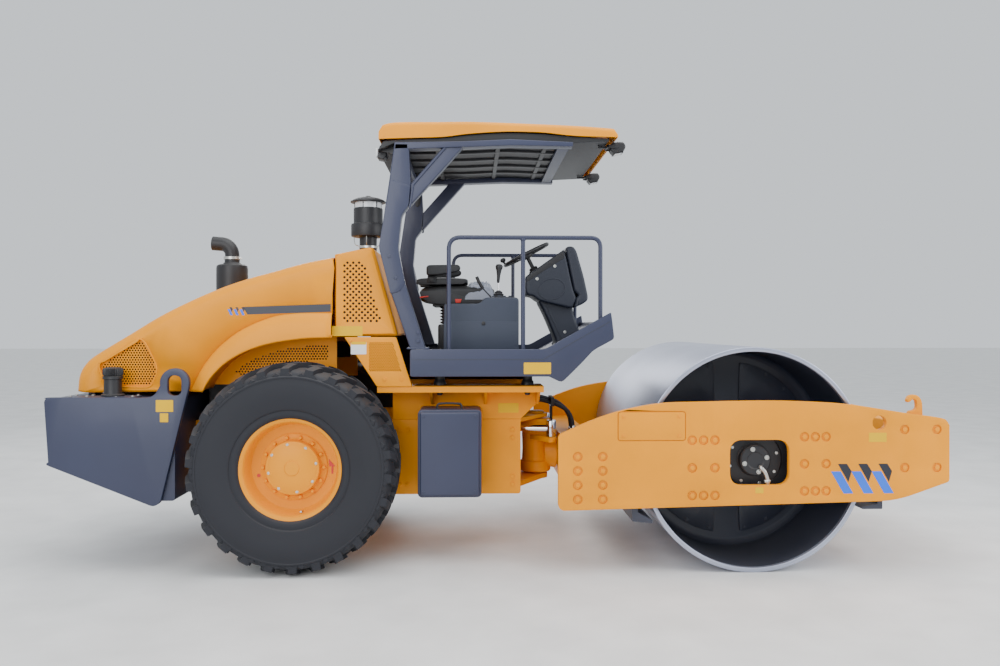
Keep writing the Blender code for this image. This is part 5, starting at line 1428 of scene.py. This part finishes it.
def crowned(low, high, crown, pinch):
    # a stuffed block: a superellipse in plan, domed top and bottom, with a piping line round its middle
    rows, count = 26, 104
    centre, half = (np.asarray(low) + high) / 2, (np.asarray(high) - low) / 2
    c, s, reach = squircle(count, 5.0)
    level = np.linspace(0, math.pi, rows)
    width = np.sin(level) ** 0.28
    rise = -np.cos(level)
    rise = np.sign(rise) * np.abs(rise) ** 0.55
    piping = 1 + pinch * np.exp(-(rise / 0.07) ** 2)
    x = centre[0] + half[0] * (width * piping)[:, None] * reach * c
    y = centre[1] + half[1] * (width * piping)[:, None] * reach * s
    flat = (1 - (width[:, None] * reach * np.abs(c)) ** 2 * 0.5) * (1
        - (width[:, None] * reach * np.abs(s)) ** 2 * 0.5)
    z = centre[2] + (half[2] - crown) * rise[:, None] + crown * np.sign(rise)[:, None] * flat
    points = np.stack([x, y, np.broadcast_to(z, x.shape)], -1)
    last = (rows - 1) * count
    return points.reshape(-1, 3), [gridFaces(rows, count, closeColumns=True), np.arange(count)[None, ::-1],
        np.arange(last, last + count)[None]]


def buildSeat():
    cushion = makePiece("seatCushion", [crowned((-0.570, -0.250, 1.8305), (0.008, 0.250, 1.985), 0.030,
        0.012)], "vinyl", "rear_frame", ["seat_cushion"], smooth=60)
    back = makePiece("seatBackPad", [crowned((-0.598, -0.238, 1.9805), (-0.200, 0.238, 2.043), 0.014, 0.012)],
        "vinyl", "seat_back", ["seat_back"], smooth=60)
    shell = roundCorners([(-0.595, 1.985), (-0.560, 1.982), (-0.235, 1.986), (-0.212, 2.005), (-0.216, 2.026),
        (-0.560, 2.028), (-0.590, 2.015)], 0.01, 3)
    sidePanels = [pane(shell, sign, 0.2385, 0.2445, 0.002) for sign in (-1, 1)]
    arms = [pane(roundCorners([(-0.510, 1.995), (-0.442, 1.995), (-0.436, 2.055), (-0.505, 2.060)], 0.012, 3),
        sign, 0.244, 0.262, 0.004) for sign in (-1, 1)]
    pivots = [turn([(0.026, 0.0), (0.026, 0.006), (0.020, 0.009), (0.004, 0.009)],
        (-0.475, sign * 0.262, 2.025), (0, sign, 0), 32) for sign in (-1, 1)]
    makePiece("seatBackFrame", sidePanels + arms + pivots, "black", "seat_back", smooth=40)
    puff = crumpled((-0.225, -0.262, 1.868), (0.006, 0.262, 2.022))
    makePiece("seatFilm", [puff], "film", "rear_frame", smooth=12)
    foot, fold = 1.682, 0.0235
    profile = []
    for step in range(7):
        profile += [(0.150, foot + step * fold), (0.172, foot + step * fold + 0.0117)]
    profile.append((0.150, foot + 6 * fold))
    makePiece("seatBellows", [squareTurn(profile, (-0.250, 0))], "rubber", "rear_frame", smooth=20)
    base = [slab(roundCorners(rectangle((-0.430, 1.441), (-0.080, 1.680)), 0.02, 4), -0.200, 0.200, "Y",
        0.012), slab(roundCorners(rectangle((-0.470, 1.816), (-0.050, 1.832)), 0.006, 2), -0.230, 0.230, "Y",
        0.004)]
    makePiece("seatBase", base, "black", "rear_frame", ["seat_base"])
    for side, sign in sides.items():
        outline = roundCorners([(-0.513, 2.048), (-0.425, 2.048), (-0.270, 2.078), (-0.252, 2.105),
            (-0.270, 2.130), (-0.500, 2.126), (-0.513, 2.110)], [0.02, 0.04, 0.02, 0.015, 0.02, 0.02, 0.01],
            5)
        rest = pane(outline, sign, 0.262, 0.330, 0.014, steps=5)
        piece = makePiece("armrest" + side.capitalize(), [rest], "vinyl", "seat_back", smooth=60)
    tab = slab(roundCorners([(-0.292, 1.842), (-0.256, 1.842), (-0.247, 1.872), (-0.298, 1.872)], 0.005, 3),
        -0.262, -0.252, "Y", 0.002)
    lever = slab(roundCorners([(-0.565, 1.878), (-0.500, 1.888), (-0.500, 1.896), (-0.565, 1.890)], 0.003, 2),
        -0.264, -0.252, "Y", 0.002)
    makePiece("seatLevers", [tab, lever], "redMark", "rear_frame")
    pan = roundCorners([(-0.570, 1.935), (-0.560, 1.885), (-0.500, 1.845), (-0.430, 1.832), (-0.020, 1.832),
        (0.004, 1.850), (0.006, 1.872), (-0.220, 1.888), (-0.400, 1.935)], 0.02, 4)
    pans = [pane(pan, sign, 0.2495, 0.2545, 0.002) for sign in (-1, 1)]
    makePiece("seatPan", pans, "black", "rear_frame", smooth=40)


def crumpled(low, high):
    # thin film bunched over the front of the cushion: a domed sheet with creases at several scales
    count = 60
    u, v = np.meshgrid(np.linspace(-1, 1, count), np.linspace(-1, 1, count), indexing="ij")
    centre, half = (np.asarray(low) + high) / 2, (np.asarray(high) - low) / 2
    fall = np.clip(1 - np.abs(u) ** 5, 0, 1) * np.clip(1 - np.abs(v) ** 6, 0, 1)
    crease = np.abs(np.sin(7 * u + 3 * np.sin(5 * v)) * np.cos(6 * v - 2 * np.sin(4 * u + 1)))
    crease += 0.5 * np.abs(np.sin(15 * u - 9 * v + 2 * np.sin(6 * v)))
    x = centre[0] + half[0] * u * (1 - 0.06 * crease * fall)
    y = centre[1] + half[1] * v * (1 - 0.03 * crease * fall)
    z = low[2] + (high[2] - low[2]) * (fall ** 0.6) * (0.80 + 0.13 * crease)
    points = np.stack([x, y, z], -1)
    return points.reshape(-1, 3), [gridFaces(count, count)]


def squareTurn(profile, centre):
    # a profile carried round a rounded square, for the bellows
    count = 64
    profile = np.asarray(profile, float)
    c, s, reach = squircle(count, 6.0)
    points = np.stack([centre[0] + profile[:, :1] * reach * c, centre[1] + profile[:, :1] * reach * s,
        profile[:, 1:] + 0 * c], -1)
    last = (len(profile) - 1) * count
    return points.reshape(-1, 3), [gridFaces(len(profile), count, closeColumns=True),
        np.arange(count)[None, ::-1], np.arange(last, last + count)[None]]


buildSeat()


def buildConsoles():
    outline = roundCorners([(-0.376, 1.441), (0.173, 1.441), (0.173, 1.875), (-0.073, 1.875), (-0.112, 1.829),
        (-0.376, 1.829)], [0.004, 0.004, 0.030, 0.03, 0.03, 0.03], 5)
    for side, sign in sides.items():
        body = pane(outline, sign, 0.300, 0.556, 0.014, steps=5)
        makePiece(side + "Console", [body], "plastic", "rear_frame", ["side_console_" + side], smooth=40)
        skirt = roundCorners(rectangle((-0.374, 1.443), (0.171, 1.700)), 0.006, 3)
        makePiece(side + "ConsoleDoors", [pane(skirt, sign, 0.5555, 0.5575, 0.0015)], "plastic", "rear_frame")
        lock = turn([(0.014, 0.0), (0.014, 0.004), (0.011, 0.006), (0.004, 0.006)],
            (-0.085, sign * 0.5575, 1.685), (0, sign, 0), 24)
        slot = pane(rectangle((-0.087, 1.678), (-0.083, 1.692)), sign, 0.5632, 0.5642, 0)
        makePiece(side + "ConsoleLock", [lock, slot], "black", "rear_frame")
        panel = roundCorners(planOf(sign, -0.04, 0.14, 0.34, 0.52), 0.015, 4)
        makePiece(side + "ConsolePanel", [slab(panel, 1.8745, 1.880, "Z", 0.002)], "black", "rear_frame")
        switches = [slab(roundCorners(rectangle((x, sign * 0.47 - 0.012), (x + 0.022, sign * 0.47 + 0.012)),
            0.003, 2), 1.8795, 1.890, "Z", 0.003) for x in np.linspace(-0.02, 0.10, 4)]
        makePiece(side + "ConsoleSwitches", switches, "plastic", "rear_frame")
    boot = [(0.050, 1.878), (0.046, 1.888), (0.036, 1.894), (0.040, 1.902), (0.028, 1.910), (0.030, 1.918),
        (0.016, 1.928), (0.010, 1.932)]
    makePiece("leverBoot", [turn(boot, (0.030, -0.40, 0), (0, 0, 1), 40)], "rubber", "rear_frame", smooth=50)
    stem = pipe([(0.030, -0.40, 1.925), (0.030, -0.40, 1.960), (0.031, -0.40, 1.994)], 0.005, 12, 6)
    makePiece("leverStem", [stem], "chrome", "rear_frame")
    knob = turn([(0.007, -0.075), (0.010, -0.070), (0.013, -0.020), (0.020, 0.020), (0.026, 0.036),
        (0.028, 0.050), (0.022, 0.062), (0.006, 0.066)], (0.031, -0.40, 2.062), (0.06, 0, 1), 32)
    makePiece("leverKnob", [knob], "black", "rear_frame", smooth=60)
    shank = smoothCurve([(-0.024, -0.34, 1.882), (-0.055, -0.34, 1.915), (-0.088, -0.34, 1.952)], 6)
    grip = smoothCurve([(-0.086, -0.34, 1.949), (-0.112, -0.34, 1.990), (-0.134, -0.34, 2.037)], 6)
    makePiece("parkingLever", [sweep(circle((0, 0), 0.005, 14), shank, (0, 1, 0)),
        sweep(circle((0, 0), 0.0125, 18), grip, (0, 1, 0))], "black", "rear_frame", smooth=60)


buildConsoles()


def buildDashboard():
    box = roundCorners([(0.244, 2.048), (0.540, 2.258), (0.560, 2.200), (0.612, 1.955), (0.640, 1.880),
        (0.606, 1.800), (0.352, 1.859), (0.303, 1.898), (0.258, 1.903), (0.244, 1.935)], [0.02, 0.01, 0.02,
        0.04, 0.02, 0.03, 0.03, 0.02, 0.02, 0.02], 5)
    column = roundCorners([(0.350, 1.900), (0.352, 1.850), (0.400, 1.760), (0.484, 1.560), (0.484, 1.5025),
        (0.678, 1.610), (0.636, 1.720), (0.615, 1.800), (0.625, 1.900)], [0.01, 0.02, 0.10, 0.03, 0.003,
        0.003, 0.05, 0.03, 0.01], 5)
    makePiece("dashPod", [slab(box, -0.206, 0.206, "Y", 0.020, steps=6),
        slab(column, -0.150, 0.150, "Y", 0.022, steps=6)], "darkPlastic", "rear_frame", ["dashboard"],
        smooth=45)
    # the cover shell wraps the far end of the box, with a shadow gap between them
    cover = roundCorners([(0.556, 2.270), (0.572, 2.282), (0.612, 2.283), (0.638, 2.250), (0.698, 2.041),
        (0.728, 1.900), (0.727, 1.865), (0.688, 1.835), (0.622, 1.808), (0.634, 1.880), (0.655, 1.905),
        (0.622, 1.935), (0.568, 2.190)], [0.01, 0.02, 0.02, 0.03, 0.05, 0.02, 0.02, 0.03, 0.008, 0.01, 0.008,
        0.01, 0.01], 5)
    makePiece("dashCover", [slab(cover, -0.209, 0.209, "Y", 0.020, steps=6)], "darkPlastic", "rear_frame",
        smooth=45)
    angle = np.linspace(0, 2 * math.pi, 64, endpoint=False)
    tilt = math.radians(12)
    wide, tall = 0.108 * np.cos(angle), 0.084 * np.sin(angle)
    badge = np.stack([0.447 + wide * math.cos(tilt) - tall * math.sin(tilt), 1.952 + wide * math.sin(tilt)
        + tall * math.cos(tilt)], -1)
    strip = roundCorners([(0.252, 2.043), (0.538, 2.247), (0.546, 2.192), (0.458, 2.138), (0.256, 2.008)],
        [0.01, 0.008, 0.01, 0.03, 0.01], 4)
    for side, sign in sides.items():
        rim = pane(badge, sign, 0.2055, 0.2092, 0.0015, [insetLoop(badge, 0.009)])
        makePiece(side + "DashEmboss", [rim], "darkPlastic", "rear_frame")
        makePiece(side + "DashStrip", [pane(strip, sign, 0.2050, 0.2085, 0.0015)], "black", "rear_frame")
        screws = [(0.470, sign * 0.2085, 2.128), (0.333, sign * 0.2062, 2.030), (0.553, sign * 0.150, 1.62)]
        makePiece(side + "DashScrews", bolts(screws, (0, sign, 0), radius=0.009, height=0.004), "zinc",
            "rear_frame")
        rib = roundCorners([(0.398, 1.850), (0.410, 1.850), (0.460, 1.735), (0.538, 1.568), (0.530, 1.556),
            (0.448, 1.728)], 0.004, 3)
        makePiece(side + "ColumnRib", [pane(rib, sign, 0.1495, 0.1545, 0.0015)], "darkPlastic", "rear_frame")
    facing = np.array([-0.635, 0, 0.772])
    gauges = []
    for y, size in ((-0.10, 0.040), (0.0, 0.046), (0.10, 0.040)):
        place = np.array([0.415, y, 2.152]) + facing * 0.004
        gauges.append(turn([(size, 0), (size, 0.006), (size * 0.9, 0.008), (size * 0.85, 0.003),
            (0.002, 0.003)], place, facing, 32))
    makePiece("dashGauges", gauges, "black", "rear_frame")


buildDashboard()


steering = {"hub": (0.262, 0, 2.232), "lean": -27, "radius": 0.185, "rim": 0.0145}


def buildSteeringWheel():
    tilt = math.radians(steering["lean"])
    axis = np.array([math.sin(tilt), 0, math.cos(tilt)])
    across, up, along = axisFrame(axis)
    hub, rimRadius = np.array(steering["hub"]), steering["radius"]
    ring = np.linspace(0, 2 * math.pi, 96, endpoint=False)
    path = hub + rimRadius * (np.cos(ring)[:, None] * across + np.sin(ring)[:, None] * up)
    parts = [sweep(circle((0, 0), steering["rim"], 16), path, along, closed=True)]
    for angle in np.radians((90, 210, 330)):
        direction = math.cos(angle) * across + math.sin(angle) * up
        spoke = smoothCurve([hub - axis * 0.006 + direction * 0.03, hub - axis * 0.010 + direction * 0.10,
            hub + direction * 0.178], 6)
        parts.append(sweep(roundCorners(rectangle((-0.014, -0.005), (0.014, 0.005)), 0.004, 3), spoke, along))
    boss = [(0.044, -0.030), (0.048, -0.022), (0.048, 0.004), (0.040, 0.014), (0.020, 0.018), (0.004, 0.018)]
    parts.append(turn(boss, hub, axis, 48))
    makePiece("steeringWheel", parts, "black", "steering_wheel", ["steering_wheel"], smooth=50)
    spot = hub + rimRadius * np.array([-math.cos(tilt), 0, math.sin(tilt)])
    knob = [(0.008, 0.010), (0.008, 0.026), (0.018, 0.032), (0.023, 0.044), (0.020, 0.056), (0.008, 0.062)]
    makePiece("wheelKnob", [turn(knob, spot, axis, 32)], "black", "steering_wheel", smooth=60)
    shaft = turn([(0.016, -0.20), (0.016, -0.034), (0.026, -0.034), (0.026, -0.0307)], hub, axis, 24)
    rubberBoot = turn([(0.050, -0.15), (0.045, -0.135), (0.034, -0.130), (0.036, -0.118), (0.024, -0.110)],
        hub, axis, 32)
    makePiece("steeringShaft", [shaft, rubberBoot], "black", "rear_frame", smooth=50)


buildSteeringWheel()
print("operator's place built")

# floor and finish


def buildFloor():
    mesh = bpy.data.meshes.new("studioFloor")
    size = 60.0
    mesh.from_pydata([(x, y, 0) for x, y in rectangle((-size, -size), (size, size))], [], [(0, 1, 2, 3)])
    floor = bpy.data.objects.new("studioFloor", mesh)
    bpy.context.collection.objects.link(floor)
    mesh.materials.append(coatMaterial("paleFloor", (0.80, 0.80, 0.79), 0.6, 0.0, 0.02, 30))


buildFloor()
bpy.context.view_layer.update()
